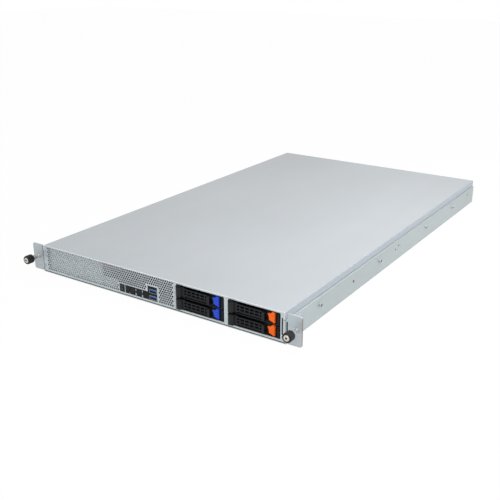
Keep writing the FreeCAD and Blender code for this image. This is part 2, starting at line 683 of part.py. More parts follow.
def make_screw(sign, name):
    """Captive screw: hexagon-socket head held in the knob, a thinner neck and the threaded tip."""
    centre = (f"{sign}(screw_side)", "screw_height")
    head = rod("Y", ("face_end", "face_end + head_length"), centre, "screw_head")
    neck = rod("Y", ("face_end + head_length", "neck_end"), centre, "screw_neck")
    thread = rod("Y", ("neck_end", "screw_reach"), centre, "screw_radius")
    socket = prism("Y", ("face_end - 1", "face_end + socket_depth"), centre, "socket_radius")
    keep(cut(fuse(head, neck, thread), socket, name=name + "_cut"), name)


def make_ring(sign, name):
    """Push-on retaining ring on the neck, between the ear and the thread."""
    centre = (f"{sign}(screw_side)", "screw_height")
    span = ("ring_gap", "ring_gap + ring_gauge")
    outer = prism("Y", span, centre, "ferrule_radius")
    inner = prism("Y", ("ring_gap - 1", "ring_gap + ring_gauge + 1"), centre,
                  "(screw_neck + pin_fit) * hex_corner")
    keep(cut(outer, inner, name=name + "_cut"), name)


# ---- front panels --------------------------------------------------------------------------

def wire(points, y):
    corners = [FreeCAD.Vector(value(a), y, value(b)) for a, b in points]
    return Part.makePolygon(corners + corners[:1])


def honeycomb(y):
    """Hexagonal holes in staggered rows, left out where the moulding's cut-out is."""
    pitch, radius = value("hex_pitch"), value("hex_flats") / math.sqrt(3)
    left, right = value("-(panel_side) + vent_margin") + radius, value("vent_split - wall_gauge") - radius
    low, high = value("panel_low + vent_edge") + radius, value("tray_top - wall_gauge") - radius
    step = pitch * math.sqrt(3) / 2
    rows = int((high - low) / step) + 1
    start = (low + high - (rows - 1) * step) / 2
    web = (pitch - 2 * radius * math.cos(math.pi / 6)) / 2
    clear = radius + web
    covered = [(value("strip_left"), value("strip_high")), (value("port_left"), value("port_high"))]
    turns = [math.radians(30 + 60 * k) for k in range(7)]
    corners = [(radius * math.cos(turn), radius * math.sin(turn)) for turn in turns]
    holes = []
    for row in range(rows):
        z = start + row * step
        x = left + (pitch / 2 if row % 2 else 0)
        while x <= right:
            if not any(start_x - clear < x < value("port_right") + clear and z < high_z + clear
                       for start_x, high_z in covered):
                ring = [FreeCAD.Vector(x + across, y, z + rise) for across, rise in corners]
                holes.append(Part.makePolygon(ring))
            x += pitch
    return holes


def make_vent_panel():
    """Perforated front sheet with return flanges and the cut-out of the front moulding."""
    y = value("front_face")
    rim = [
        ("-(panel_side)", "panel_low"), ("vent_split", "panel_low"), ("vent_split", "tray_top"),
        ("-(upper_out)", "tray_top"), ("-(upper_out)", "lower_wall"), ("-(panel_side)", "lower_wall"),
    ]
    moulding = [
        ("strip_left", "strip_low"), ("port_right", "strip_low"), ("port_right", "port_high"),
        ("port_left", "port_high"), ("port_left", "strip_high"), ("strip_left", "strip_high"),
    ]
    near = "-(panel_side) + side_slot_inset"
    far = f"{near} + side_slot_width"
    side_slot = [(near, "side_slot_low"), (far, "side_slot_low"), (far, "side_slot_high"),
                 (near, "side_slot_high")]
    loops = [wire(rim, y), wire(moulding, y), wire(side_slot, y)] + honeycomb(y)
    face = Part.makeFace(loops, "Part::FaceMakerBullseye")
    front = doc.addObject("Part::Feature", "vent_sheet")
    front.Shape = face.extrude(FreeCAD.Vector(0, value("wall_gauge"), 0))
    depth = ("panel_back", "panel_back + panel_flange")
    top = box(("-(upper_in) + fit_gap", "vent_split"), depth, ("tray_top - wall_gauge", "tray_top"))
    bottom = box(("-(panel_side)", "vent_split"), depth, ("panel_low", "panel_low + wall_gauge"))
    keep(fuse(front, top, bottom, name="vent_joined"), "vent_panel")


BAY_CENTRES = ["bay_first", "bay_first + bay_pitch"]


def make_bay_frame():
    """Front plate round the two drive bays: posts and rails that meet, with the slot of the tag."""
    depth = ("front_face", "front_face + wall_gauge")
    full = ("panel_low", "tray_top")
    slot = ("tag_left - tag_gap", "tag_right + tag_gap")
    pieces = []
    start = "vent_split + panel_gap"
    for centre in BAY_CENTRES:
        left, right = f"{centre} - bay_width / 2", f"{centre} + bay_width / 2"
        pieces.append(box((start, left), depth, full, "post"))
        pieces.append(box((left, right), depth, ("panel_low", "bay_low"), "lower_rail"))
        pieces.append(box((left, right), depth, ("bay_top", "tray_top"), "upper_rail"))
        start = right
    pieces.append(box((start, slot[0]), depth, full, "post"))
    pieces.append(box(slot, depth, ("panel_low", "tag_low - 2 * tag_gap"), "below_tag"))
    pieces.append(box(slot, depth, ("tag_low + tag_height + 2 * tag_gap", "tray_top"), "above_tag"))
    pieces.append(box((slot[1], "upper_out"), depth, full, "edge"))
    pieces.append(box(("upper_out", "panel_side"), depth, ("panel_low", "lower_wall"), "lower_edge"))
    group(pieces, "bay_frame")


def make_moulding():
    """Black front moulding: strip with button and light windows, and the block round the sockets."""
    depth = ("front_face", "front_face + moulding_depth")
    strip = box(("strip_left + 0.1", "port_left + 1"), depth, ("strip_low + 0.1", "strip_high - 0.1"))
    ports = box(("port_left + 0.1", "port_right - 0.1"), depth, ("strip_low + 0.1", "port_high - 0.1"))
    through = ("front_face - 1", "front_face + moulding_depth + 1")
    tools = []
    for centre in BUTTON_CENTRES:
        half = "(button_width / 2 + button_gap)"
        tools.append(box((f"{centre} - {half}", f"{centre} + {half}"), through,
                         ("button_low - button_gap", "button_low + button_height + button_gap")))
    for level in USB_LEVELS:
        tools.append(box(("usb_left - 0.1", "usb_left + usb_width + 0.1"), through,
                         (f"{level} - 0.1", f"{level} + usb_height + 0.1")))
    for x, z, wide, tall in WINDOWS:
        half, rise = f"({wide} / 2 + window_gap)", f"({tall} / 2 + window_gap)"
        tools.append(box((f"{x} - {half}", f"{x} + {half}"), ("front_face - 1", "front_face + 4"),
                         (f"{z} - {rise}", f"{z} + {rise}")))
    keep(cut(fuse(strip, ports), *tools, name="moulding_cut"), "front_moulding")


BUTTON_CENTRES = ["strip_left + button_first", "strip_left + button_second", "strip_left + button_third"]
USB_LEVELS = ["usb_low", "usb_low + usb_step"]
WINDOWS = [
    ("strip_left + window_first", "window_high", "window_width", "window_height"),
    ("strip_left + window_first", "window_low", "window_width", "window_height"),
    ("strip_left + window_second", "window_middle", "window_small", "window_small"),
    ("strip_left + window_third", "window_middle", "window_small", "window_small"),
]


def make_windows():
    """Light pipes behind the indicator windows."""
    pipes = []
    for x, z, wide, tall in WINDOWS:
        pipes.append(box((f"{x} - {wide} / 2", f"{x} + {wide} / 2"), ("front_face", "front_face + 4"),
                         (f"{z} - {tall} / 2", f"{z} + {tall} / 2")))
    group(pipes, "indicator_windows")


def make_buttons():
    """Front push buttons in the moulding's windows."""
    for number, centre in enumerate(BUTTON_CENTRES, start=1):
        name = f"front_button_{number}"
        cap = box((f"{centre} - button_width / 2", f"{centre} + button_width / 2"),
                  ("front_face - button_proud", "front_face - button_proud + button_depth"),
                  ("button_low", "button_low + button_height"), name=name + "_cap")
        rounded = doc.addObject("Part::Chamfer", name + "_bevelled")
        rounded.Base = cap
        front, size = value("front_face - button_proud"), value("button_bevel")
        edges = enumerate(cap_edges(cap), start=1)
        rounded.Edges = [(i, size, size) for i, edge in edges if abs(edge.CenterOfMass.y - front) < NEAR]
        keep(rounded, name)


def cap_edges(shape):
    doc.recompute([shape])
    return shape.Shape.Edges


def make_sockets():
    """USB socket shells and their tongues."""
    shells, tongues = [], []
    depth = ("front_face", "front_face + moulding_depth - 0.5")
    for level in USB_LEVELS:
        outer = box(("usb_left", "usb_left + usb_width"), depth, (level, f"{level} + usb_height"))
        inner = box(("usb_left + usb_skin", "usb_left + usb_width - usb_skin"),
                    ("front_face - 1", "front_face + moulding_depth - 1.5"),
                    (f"{level} + usb_skin", f"{level} + usb_height - usb_skin"))
        shells.append(cut(outer, inner))
        roof = f"{level} + usb_height - usb_skin"
        tongues.append(box(("usb_left + 1", "usb_left + usb_width - 1"),
                           ("front_face + 0.8", "front_face + moulding_depth - 1.5"),
                           (f"{roof} - tongue_low", f"{roof} - tongue_high")))
    group(shells, "usb_shells")
    group(tongues, "usb_tongues")


def make_tag():
    """Pull-out information tag beside the bays."""
    keep(box(("tag_left", "tag_right"), ("front_face - 0.4", "front_face - 0.4 + tag_length"),
             ("tag_low", "tag_low + tag_height")), "info_tag")


# ---- drive bays ----------------------------------------------------------------------------

def make_cage():
    """Sheet cage of the drive bays: walls, floor on two feet, top and a shelf in each bay."""
    left, right = "bay_first - cage_side - cage_skin", "bay_first + bay_pitch + cage_side + cage_skin"
    depth = ("cage_front", "cage_back")
    floor = "tray_low - fit_gap"
    walls = (floor, "cage_top - cage_skin")
    feet = ("wall_gauge", f"{floor} - cage_skin")
    plates = [
        box((left, right), depth, (f"{floor} - cage_skin", floor), "floor"),
        box((left, right), depth, ("cage_top - cage_skin", "cage_top"), "top"),
        box((left, f"{left} + cage_foot"), depth, feet, "foot"),
        box((f"{right} - cage_foot", right), depth, feet, "foot"),
    ]
    for centre in BAY_CENTRES:
        side = (f"{centre} - cage_side", f"{centre} + cage_side")
        plates.append(box((f"{side[0]} - cage_skin", side[0]), depth, walls, "wall"))
        plates.append(box((side[1], f"{side[1]} + cage_skin"), depth, walls, "wall"))
        plates.append(box(side, depth, ("shelf_z", "shelf_z + shelf_gauge"), "shelf"))
    group(plates, "drive_cage")


def tray_places():
    """Number, bay centre and lower face of each tray."""
    number = 0
    for centre in BAY_CENTRES:
        for low in ("tray_low", "tray_low + tray_pitch"):
            number += 1
            yield number, centre, low


def chamfered(block, size, axis, name):
    """A block with its long edges along an axis bevelled."""
    made = doc.addObject("Part::Chamfer", name)
    made.Base = block
    edges = enumerate(cap_edges(block), start=1)
    made.Edges = [(i, value(size), value(size)) for i, e in edges if runs_along(e, axis)]
    return made


def make_carrier(number, centre, low):
    """Drive carrier: open cradle with a front plate, hinge lugs with their pin, and the latch seat."""
    high = f"{low} + tray_height"
    block = box((f"{centre} - carrier_side", f"{centre} + carrier_side"),
                ("seat_face", "carrier_back"), (low, high))
    cradle = chamfered(block, "carrier_bevel", "y", f"tray_carrier_{number}_block")
    pivot = (f"{centre} - barrel_inset", "pivot_y")
    narrow = (f"{centre} - carrier_side + carrier_bevel", f"{centre} - barrel_inset + lug_reach")
    adds = [cradle]
    for span in ((low, f"{low} + lug_gauge"), (f"{high} - lug_gauge", high)):
        adds.append(box(narrow, ("pivot_y - barrel_radius + carrier_bevel", "carrier_front + 1"), span))
    adds.append(rod("Z", (f"{low} + lug_gauge", f"{high} - lug_gauge"), pivot, "pin_radius"))
    bar = (f"{centre} + bar_left", f"{centre} + bar_left + bar_width")
    bar_high = (f"{low} + carrier_bevel / 2", f"{high} - carrier_bevel / 2")
    adds.append(box(bar, ("front_face + bar_width / 2", "seat_face"), bar_high))
    nose = (f"{centre} + bar_left + bar_width / 2", "front_face + bar_width / 2")
    adds.append(prism("Z", bar_high, nose, "bar_width / 2", sides=12))
    stem = f"{centre} + latch_left + stem_inset"
    slot = (f"{stem} - stem_gap", f"{stem} + stem_width + latch_travel + 1.5 * stem_gap")
    middle = f"{low} + tray_height / 2"
    slot_half = "(stem_height / 2 + 1.5 * stem_gap)"
    swing = ("seat_face - 1", "carrier_front")
    tools = [
        box((f"{centre} - carrier_side - 1", f"{centre} + lever_tip + tip_gap"), swing,
            (f"{low} + lug_gauge", f"{high} - lug_gauge")),
        box((narrow[1], f"{centre} + lever_tip + tip_gap"), swing, (f"{low} - 1", f"{high} + 1")),
        box((f"{centre} - carrier_side - 1", narrow[0]), swing, (f"{low} - 1", f"{high} + 1")),
        box((f"{centre} - drive_width / 2 - drive_gap", f"{centre} + drive_width / 2 + drive_gap"),
            ("plate_back", "carrier_back + 1"), (f"{low} + carrier_floor", f"{high} + 1")),
        box((f"{centre} - floor_opening / 2", f"{centre} + floor_opening / 2"),
            ("plate_back + floor_rim", "carrier_back - floor_rim"), (f"{low} - 1", f"{low} + 2")),
        box((f"{centre} - barrel_inset + air_inset", f"{centre} + lever_tip - air_end"),
            ("seat_face", "plate_back + 1"), (f"{low} + air_rim", f"{high} - air_rim")),
        box(slot, ("seat_face - 1", "seat_face + stem_slot"),
            (f"{middle} - {slot_half}", f"{middle} + {slot_half}")),
    ]
    keep(cut(fuse(*adds), *tools, name=f"tray_carrier_{number}_cut"), f"tray_carrier_{number}")


def make_lever(number, centre, low):
    """Swing lever: hinge barrel, plate with two rows of slots, and a raised tip."""
    high = f"{low} + tray_height"
    middle = f"{low} + tray_height / 2"
    pivot = (f"{centre} - barrel_inset", "pivot_y")
    knuckle = (f"{low} + lug_gauge + knuckle_gap", f"{high} - lug_gauge - knuckle_gap")
    root = f"{centre} - barrel_inset + barrel_radius + 0.5"
    barrel = rod("Z", knuckle, pivot, "barrel_radius")
    neck = box((f"{centre} - barrel_inset", f"{root} + 1"), ("lever_front", "lever_back"), knuckle)
    full = (f"{low} + lever_edge", f"{high} - lever_edge")
    plate = box((root, f"{centre} + lever_tip"), ("lever_front", "lever_back"), full)
    tip = box((f"{centre} + lever_tip - tip_width", f"{centre} + lever_tip"),
              ("lever_front - tip_gap", "lever_back"), full)
    tools = [rod("Z", (f"{low} - 1", f"{high} + 1"), pivot, "pin_radius + pin_fit")]
    for column in range(int(value("slot_columns"))):
        for row in ("-", "+"):
            across = f"{centre} + slot_first + {column} * slot_pitch"
            left = f"{across} - slot_width / 2" if column else f"{across} - slot_width / 8"
            level = f"{middle} {row} slot_rows / 2"
            tools.append(box((left, f"{across} + slot_width / 2"), ("lever_front - 1", "lever_back + 1"),
                             (f"{level} - slot_height / 2", f"{level} + slot_height / 2")))
    joined = fuse(barrel, neck, plate, tip)
    keep(cut(joined, *tools, name=f"tray_lever_{number}_cut"), f"tray_lever_{number}")


def make_latch(number, centre, low):
    """Coloured release latch: finger scoop on its left side, notch on top, stem in the carrier slot."""
    high = f"{low} + tray_height"
    middle = f"{low} + tray_height / 2"
    left = f"{centre} + latch_left"
    through = ("latch_front - 1", "latch_back + 1")
    cap = box((left, f"{left} + latch_width"), ("latch_front", "latch_back"),
              (f"{low} + latch_edge", f"{high} - latch_edge"))
    scoop = prism("Y", ("latch_front - 1", "latch_back"), (f"{left} - scoop_offset", f"{middle} - 1"),
                  "scoop_radius", sides=16)
    notch = prism("Y", through, (f"{left} + latch_width / 2", f"{high} - latch_edge"), "notch_radius",
                  sides=12)
    stem = box((f"{left} + stem_inset", f"{left} + stem_inset + stem_width"),
               ("latch_back - 0.5", "seat_face + stem_reach"),
               (f"{middle} - stem_height / 2", f"{middle} + stem_height / 2"))
    keep(fuse(cut(cap, scoop, notch), stem, name=f"tray_latch_{number}_joined"), f"tray_latch_{number}")


def make_backplane():
    """Circuit board behind the cage with one connector for each drive."""
    left, right = "bay_first - cage_side - cage_skin", "bay_first + bay_pitch + cage_side + cage_skin"
    board = box((left, right), ("cage_back + fit_gap", "cage_back + fit_gap + backplane_gauge"),
                ("wall_gauge", "cage_top - 3"))
    pieces = [board]
    for _, centre, low in tray_places():
        pieces.append(box((f"{centre} - plug_width / 2", f"{centre} + plug_width / 2"),
                          ("carrier_back + 1", "cage_back + fit_gap"),
                          (f"{low} + plug_lift", f"{low} + plug_lift + plug_height")))
    keep(fuse(*pieces, name="backplane_joined"), "drive_backplane")


# ---- inside the case -----------------------------------------------------------------------

def make_front_board():
    """Board behind the front moulding."""
    face = "front_face + moulding_depth"
    keep(box(("strip_left", "port_right"), (face, f"{face} + backplane_gauge"),
             ("panel_low + wall_gauge", "port_high + 2")), "front_io_board")


def make_riser_cage():
    """Folded tub for an expansion card, close behind the left of the vent panel."""
    side = ("riser_margin - inner_wall", "riser_margin - inner_wall + riser_width")
    depth = ("panel_back + riser_setback", "cage_back + 3")
    low = "panel_low + wall_gauge + fit_gap"
    high = "tray_top - wall_gauge - fit_gap"
    floor = box(side, depth, (low, f"{low} + wall_gauge"))
    front = box(side, (depth[0], f"{depth[0]} + wall_gauge"), (low, high))
    walls = [box((x, f"{x} + wall_gauge"), depth, (low, high))
             for x in (side[0], f"{side[1]} - wall_gauge")]
    feet = [box((x, f"{x} + riser_foot"), ("panel_back + panel_flange + 2", depth[1]), ("wall_gauge", low))
            for x in (side[0], f"{side[1]} - riser_foot")]
    keep(fuse(floor, front, *walls, *feet, name="riser_joined"), "riser_cage")
    tab = box((side[1], f"{side[1]} + touch_width"), ("panel_back + 5", "panel_back + 5 + touch_depth"),
              ("tray_top - touch_drop - touch_gauge", "tray_top - touch_drop"))
    keep(chamfered(tab, "1", "z", "riser_tab"), "riser_touch_tab")


FAN_CENTRES = [f"{k} * fan_pitch" for k in (-1.5, -0.5, 0.5, 1.5)]


def make_fans():
    """Fan wall, frames with their spiders, and one rotor for each."""
    middle = "fan_low + fan_size / 2"
    wall = box(("-(upper_in) + 1", "upper_in - 1"),
               ("fan_start - fit_gap - wall_gauge", "fan_start - fit_gap"),
               ("wall_gauge", "tray_top - fit_gap"))
    through = ("fan_start - 5", "fan_start + 5")
    rise = (f"{middle} - fan_bore", f"{middle} + fan_bore")
    inlets = [box((f"{x} - fan_bore", f"{x} + fan_bore"), through, rise) for x in FAN_CENTRES]
    cable_way = box(("-(cable_width / 2 + 1)", "cable_width / 2 + 1"), through,
                    ("0", "wall_gauge + cable_room"))
    keep(cut(wall, *inlets, cable_way, name="fan_wall_cut"), "fan_bracket")
    frames = []
    for x in FAN_CENTRES:
        side = (f"{x} - fan_size / 2", f"{x} + fan_size / 2")
        frame = box(side, ("fan_start", "fan_end"), ("fan_low", "fan_low + fan_size"))
        bore = prism("Y", ("fan_start - 1", "fan_end + 1"), (x, middle), "fan_bore * 1.02", sides=16)
        duct = cut(frame, bore)
        hold = ("fan_start + rotor_start + rotor_depth + fit_gap",
                "fan_start + rotor_start + rotor_depth + boss_depth")
        boss = prism("Y", hold, (x, middle), "hub_radius", sides=8)
        strut = box((f"{x} - strut_gauge / 2", f"{x} + strut_gauge / 2"), hold,
                    ("fan_low + 1", "fan_low + fan_size - 1"))
        frames.append(fuse(duct, boss, strut))
    group(frames, "fan_frames")
    for number, x in enumerate(FAN_CENTRES, start=1):
        rotor = doc.addObject("Part::Feature", f"fan_rotor_{number}")
        rotor.Shape = rotor_shape(value(x), value("fan_start + rotor_start"), value(middle))
        keep(rotor, f"fan_rotor_{number}")


def rotor_shape(x, y, z):
    """Hub and five pitched blades."""
    depth, hub, reach = value("rotor_depth"), value("hub_radius"), value("rotor_radius")
    along = FreeCAD.Vector(0, 1, 0)
    centre = FreeCAD.Vector(x, y, z)
    turns = [math.pi * k / 8 for k in range(17)]
    corners = [FreeCAD.Vector(x + hub * math.cos(a), y, z + hub * math.sin(a)) for a in turns]
    shape = Part.Face(Part.makePolygon(corners)).extrude(along * depth)
    blades = []
    count, gauge = int(value("fan_blades")), value("fan_blade_gauge")
    for index in range(count):
        blade = Part.makeBox(gauge, depth - 2, reach - hub,
                             FreeCAD.Vector(-gauge / 2, -depth / 2 + 1, hub - 1))
        blade.rotate(FreeCAD.Vector(), FreeCAD.Vector(0, 0, 1), value("fan_blade_pitch"))
        blade.rotate(FreeCAD.Vector(), along, 360 / count * index)
        blade.translate(centre + along * (depth / 2))
        blades.append(blade)
    return shape.multiFuse(blades).removeSplitter()


def make_boards():
    """Motherboard on hexagonal standoffs."""
    across = ("board_left", "board_left + board_width")
    keep(box(across, ("board_front", "board_back"), ("board_low", "board_top")), "motherboard")
    posts = []
    for x in ("board_left + post_inset", "board_left + board_width / 2",
              "board_left + board_width - post_inset"):
        for y in ("board_front + post_inset", "board_front + board_depth / 2", "board_back - post_rear"):
            posts.append(prism("Z", ("wall_gauge", "board_low"), (x, y), "standoff_radius"))
    group(posts, "standoffs")


SINK_LEFTS = ["board_left + sink_inset", "board_left + board_width - sink_margin - sink_width"]


def make_heatsinks():
    """Finned processor heatsinks on their pedestals."""
    sinks = []
    depth = ("board_front + sink_start", "board_front + sink_start + sink_depth")
    base_low = "board_top + pedestal_height"
    for left in SINK_LEFTS:
        pieces = [
            box((f"{left} + pedestal_inset", f"{left} + sink_width - pedestal_inset"),
                (f"{depth[0]} + pedestal_start", f"{depth[0]} + pedestal_start + pedestal_depth"),
                ("board_top", base_low)),
            box((left, f"{left} + sink_width"), depth, (base_low, f"{base_low} + sink_base")),
        ]
        for fin in range(int(value("sink_fins"))):
            x = f"{left} + {fin} * (sink_width - fin_gauge) / (sink_fins - 1)"
            pieces.append(box((x, f"{x} + fin_gauge"), depth,
                              (f"{base_low} + sink_base - 0.5", f"{base_low} + sink_height")))
        sinks.append(fuse(*pieces))
    group(sinks, "processor_heatsinks")


def make_memory():
    """Memory sockets and the modules standing in them."""
    sockets, modules = [], []
    low, high = f"{SINK_LEFTS[0]} + sink_width", SINK_LEFTS[1]
    count = int(value(f"(({high}) - ({low}) - 2 * dimm_clear) / dimm_pitch")) + 1
    start = f"(({low}) + ({high}) - {count - 1} * dimm_pitch) / 2"
    front = "board_front + post_inset"
    module = (f"{front} + socket_end", f"{front} + socket_end + dimm_length")
    base = "board_top + dimm_lift"
    for index in range(count):
        middle = f"{start} + {index} * dimm_pitch"
        body = box((f"{middle} - socket_width / 2", f"{middle} + socket_width / 2"),
                   (front, f"{front} + dimm_length + 2 * socket_end"),
                   ("board_top", "board_top + socket_height"))
        slot = box((f"{middle} - dimm_gauge / 2 - dimm_gap", f"{middle} + dimm_gauge / 2 + dimm_gap"),
                   (f"{module[0]} - 2 * dimm_gap", f"{module[1]} + 2 * dimm_gap"), (base, "board_top + 20"))
        sockets.append(cut(body, slot))
        modules.append(box((f"{middle} - dimm_gauge / 2", f"{middle} + dimm_gauge / 2"), module,
                           (base, f"{base} + dimm_height")))
    group(sockets, "memory_sockets")
    group(modules, "memory_modules")


def make_duct():
    """Air duct over the heatsinks and the memory."""
    across = ("board_left + 1", "board_left + board_width - 1")
    depth = ("fan_end + 4", "board_front + duct_reach")
    top = box(across, depth, ("tray_top - 1.5", "tray_top - fit_gap"))
    walls = [box((x, f"{x} + wall_gauge"), depth, ("board_top + fit_gap", "tray_top - 1"))
             for x in (across[0], f"{across[1]} - wall_gauge")]
    keep(fuse(top, *walls, name="duct_joined"), "air_duct")


def make_cable():
    """Flat signal cable from the front board along the floor to the motherboard."""
    side = ("-cable_width / 2", "cable_width / 2")
    rear = "front_face + moulding_depth + backplane_gauge"
    low = "panel_low"
    climb = "board_front - cable_stand"
    end = ("board_top + fit_gap", "board_top + fit_gap + cable_gauge")
    pieces = [
        box(side, (rear, f"{rear} + cable_gauge"), (low, "cable_top")),
        box(side, (rear, climb), (low, f"{low} + cable_gauge")),
        box(side, (climb, f"{climb} + cable_gauge"), (low, end[1])),
        box(side, (climb, "board_front + cable_end"), end),
    ]
    keep(fuse(*pieces, name="cable_joined"), "signal_cable")


# ---- rear ----------------------------------------------------------------------------------

JACK_CENTRES = ["board_left + jack_first", "board_left + jack_first + jack_pitch"]
PORT_LEFT = "board_left + rear_port_first"
DISPLAY_LEFT = f"{PORT_LEFT} + rear_usb_width + display_gap"
DISPLAY_RIGHT = f"{DISPLAY_LEFT} + display_width"


def row_of_slots(count, first, width, pitch, depth, height):
    """Equal slots side by side; first is the left edge of the first one."""
    lefts = [f"{first} + {k} * {pitch}" for k in range(int(value(count)))]
    return [box((left, f"{left} + {width}"), depth, height) for left in lefts]


def make_rear_panel():
    """Rear wall beside the power supplies: port cut-outs, vent slots and a slotted blank part."""
    body = new_body("rear_panel")
    right = "supply_first - supply_width / 2 - 0.8"
    rim = [
        ("-(panel_side)", "panel_low"), (right, "panel_low"), (right, "tray_top"),
        ("-(upper_out)", "tray_top"), ("-(upper_out)", "lower_wall"), ("-(panel_side)", "lower_wall"),
    ]
    section = outline(body, "XZ_Plane", rim, start="-(rear_face - wall_gauge)")
    pad(body, section, "wall_gauge", backwards=True)
    through = ("rear_face - 3", "rear_face + 1")
    margin = "(jack_margin + fit_gap)"
    jacks = box((f"{JACK_CENTRES[0]} - {margin}", f"{JACK_CENTRES[1]} + {margin}"), through,
                ("board_top - fit_gap", "board_top + jack_height + fit_gap"))
    ports = box((f"{PORT_LEFT} - fit_gap", f"{DISPLAY_RIGHT} + fit_gap"), through,
                ("board_top - fit_gap", "board_top + rear_usb_height + fit_gap"))
    slots = row_of_slots("rear_slots", "board_left + rear_slot_first", "rear_slot_width",
                         "rear_slot_pitch", through, ("rear_slot_low", "rear_slot_high"))
    blank = row_of_slots("blank_slots", f"{right} - blank_first", "blank_width", "blank_pitch",
                         through, ("blank_low", "blank_high"))
    keep(cut(body, jacks, ports, *slots, *blank, name="rear_panel_cut"), "rear_panel")


def make_rear_ports():
    """Twin network jacks, and the display and USB block."""
    depth = ("board_back - rear_port_depth", "rear_face")
    block = box((f"{JACK_CENTRES[0]} - jack_margin", f"{JACK_CENTRES[1]} + jack_margin"), depth,
                ("board_top", "board_top + jack_height"))
    inside = ("rear_face - mouth_depth", "rear_face + 1")
    rise = ("board_top + mouth_low", "board_top + mouth_low + mouth_height")
    mouths = [box((f"{x} - mouth_width / 2", f"{x} + mouth_width / 2"), inside, rise)
              for x in JACK_CENTRES]
    keep(cut(block, *mouths, name="jacks_cut"), "network_jacks")
    usb_right = f"{PORT_LEFT} + rear_usb_width"
    usb = box((PORT_LEFT, usb_right), depth, ("board_top", "board_top + rear_usb_height"))
    tools, tongues = [], []
    for level in ("board_top + rear_usb_low", "board_top + rear_usb_low + rear_usb_step"):
        tools.append(box((f"{PORT_LEFT} + rear_usb_skin", f"{usb_right} - rear_usb_skin"),
                         ("rear_face - rear_usb_depth", "rear_face + 1"),
                         (level, f"{level} + rear_usb_mouth")))
        tongue = f"{level} + rear_tongue_low"
        tongues.append(box((f"{PORT_LEFT} + rear_tongue", f"{usb_right} - rear_tongue"),
                           ("rear_face - rear_usb_depth - 1", "rear_face - 1"),
                           (tongue, f"{tongue} + rear_tongue")))
    display = box((DISPLAY_LEFT, DISPLAY_RIGHT), depth, ("board_top", "board_top + display_height"))
    inner = (f"{DISPLAY_LEFT} + display_inset", f"{DISPLAY_RIGHT} - display_inset")
    level = ("board_top + mouth_low", "board_top + mouth_low + display_mouth")
    mouth = box(inner, ("rear_face - display_depth", "rear_face + 1"), level)
    core = box((f"{inner[0]} + core_gap", f"{inner[1]} - core_gap"),
               ("rear_face - display_depth - 1", "rear_face - 0.6"),
               (f"{level[0]} + 0.9 * core_gap", f"{level[1]} - 0.9 * core_gap"))
    group([fuse(cut(usb, *tools), *tongues), fuse(cut(display, mouth), core)], "rear_ports")


def make_supply(number, centre):
    """Power supply: case with inlet, vent slots and handle, and its release latch."""
    name = f"power_supply_{number}"
    right = f"{centre} + supply_width / 2"
    case = box((f"{centre} - supply_width / 2", right), ("supply_front", "supply_back"),
               ("supply_low", "supply_top"))
    reach = "supply_back + handle_reach"
    bar_z = ("supply_top - handle_drop - handle_height", "supply_top - handle_drop")
    ends = (f"{centre} - handle_left", f"{centre} + handle_right")
    handle = [
        box((ends[0], f"{ends[0]} + handle_gauge"), ("supply_back", reach), bar_z),
        box((f"{ends[1]} - handle_gauge", ends[1]), ("supply_back", reach), bar_z),
        box(ends, (f"{reach} - handle_gauge", reach), bar_z),
    ]
    behind = "supply_back + 1"
    lift = "supply_low + inlet_lift"
    inlet = f"{centre} - inlet_left"
    tools = [box((inlet, f"{inlet} + inlet_width"), ("supply_back - inlet_depth", behind),
                 (lift, f"{lift} + inlet_height"))]
    tools += row_of_slots("vent_count", f"{centre} + vent_first", "vent_width", "vent_pitch",
                          ("supply_back - vent_depth", behind), (lift, f"{lift} + vent_height"))
    notch = "supply_low + notch_low"
    tools.append(box((f"{right} - notch_width", f"{right} + 1"), ("supply_back - notch_depth", behind),
                     (notch, f"{notch} + notch_height")))
    blades = []
    for side, rise in ((-1, 1), (1, 1), (0, 2)):
        x = f"{inlet} + inlet_width / 2 + {side} * blade_gap"
        low = f"{lift} + {rise} * blade_gap"
        blades.append(box((f"{x} - blade_gauge / 2", f"{x} + blade_gauge / 2"),
                          ("supply_back - inlet_depth - 1", "supply_back - blade_short"),
                          (low, f"{low} + blade_height")))
    keep(fuse(cut(fuse(case, *handle), *tools), *blades, name=name + "_joined"), name)
    tab = box((f"{right} - fit_gap - release_gauge", f"{right} - fit_gap"),
              ("supply_back - notch_depth + fit_gap", "supply_back + release_reach"),
              (f"{notch} + release_gap", f"{notch} + notch_height - release_gap"))
    keep(chamfered(tab, "1", "x", name + "_tab"), f"supply_latch_{number}")


# ---- build and export ----------------------------------------------------------------------

make_tray()
make_cover()
make_ear(1, "ear_right")
make_ear(-1, "ear_left")
make_studs()
make_ferrules()
for sign, side in (("", "right"), ("-", "left")):
    make_knob(sign, f"thumbscrew_knob_{side}")
    make_screw(sign, f"thumbscrew_{side}")
    make_ring(sign, f"retaining_ring_{side}")
make_vent_panel()
make_bay_frame()
make_moulding()
make_windows()
make_buttons()
make_sockets()
make_tag()
make_cage()
for tray in tray_places():
    make_carrier(*tray)
    make_lever(*tray)
    make_latch(*tray)
make_backplane()
make_front_board()
make_riser_cage()
make_fans()
make_boards()
make_heatsinks()
make_memory()
make_duct()
make_cable()
make_rear_panel()
make_rear_ports()
make_supply(1, "supply_first")
make_supply(2, "supply_first + supply_pitch")

doc.recompute()
for thing in doc.Objects:
    if "Invalid" in thing.State or "Error" in thing.State:
        raise RuntimeError(f"{thing.Name} ({thing.Label}) failed: {thing.State}")
os.makedirs("parts", exist_ok=True)
for thing in nodes:
    if thing.Shape.isNull() or not thing.Shape.isValid():
        raise RuntimeError(thing.Label + " has no valid shape")
for thing in nodes:
    thing.Shape.exportStep(f"parts/{thing.Label}.step")
print(len(nodes), "sub-parts written")
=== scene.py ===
"""Looks of a one-unit rack server: finishes, studio and the fine pieces that dress its solids."""

import json
import math

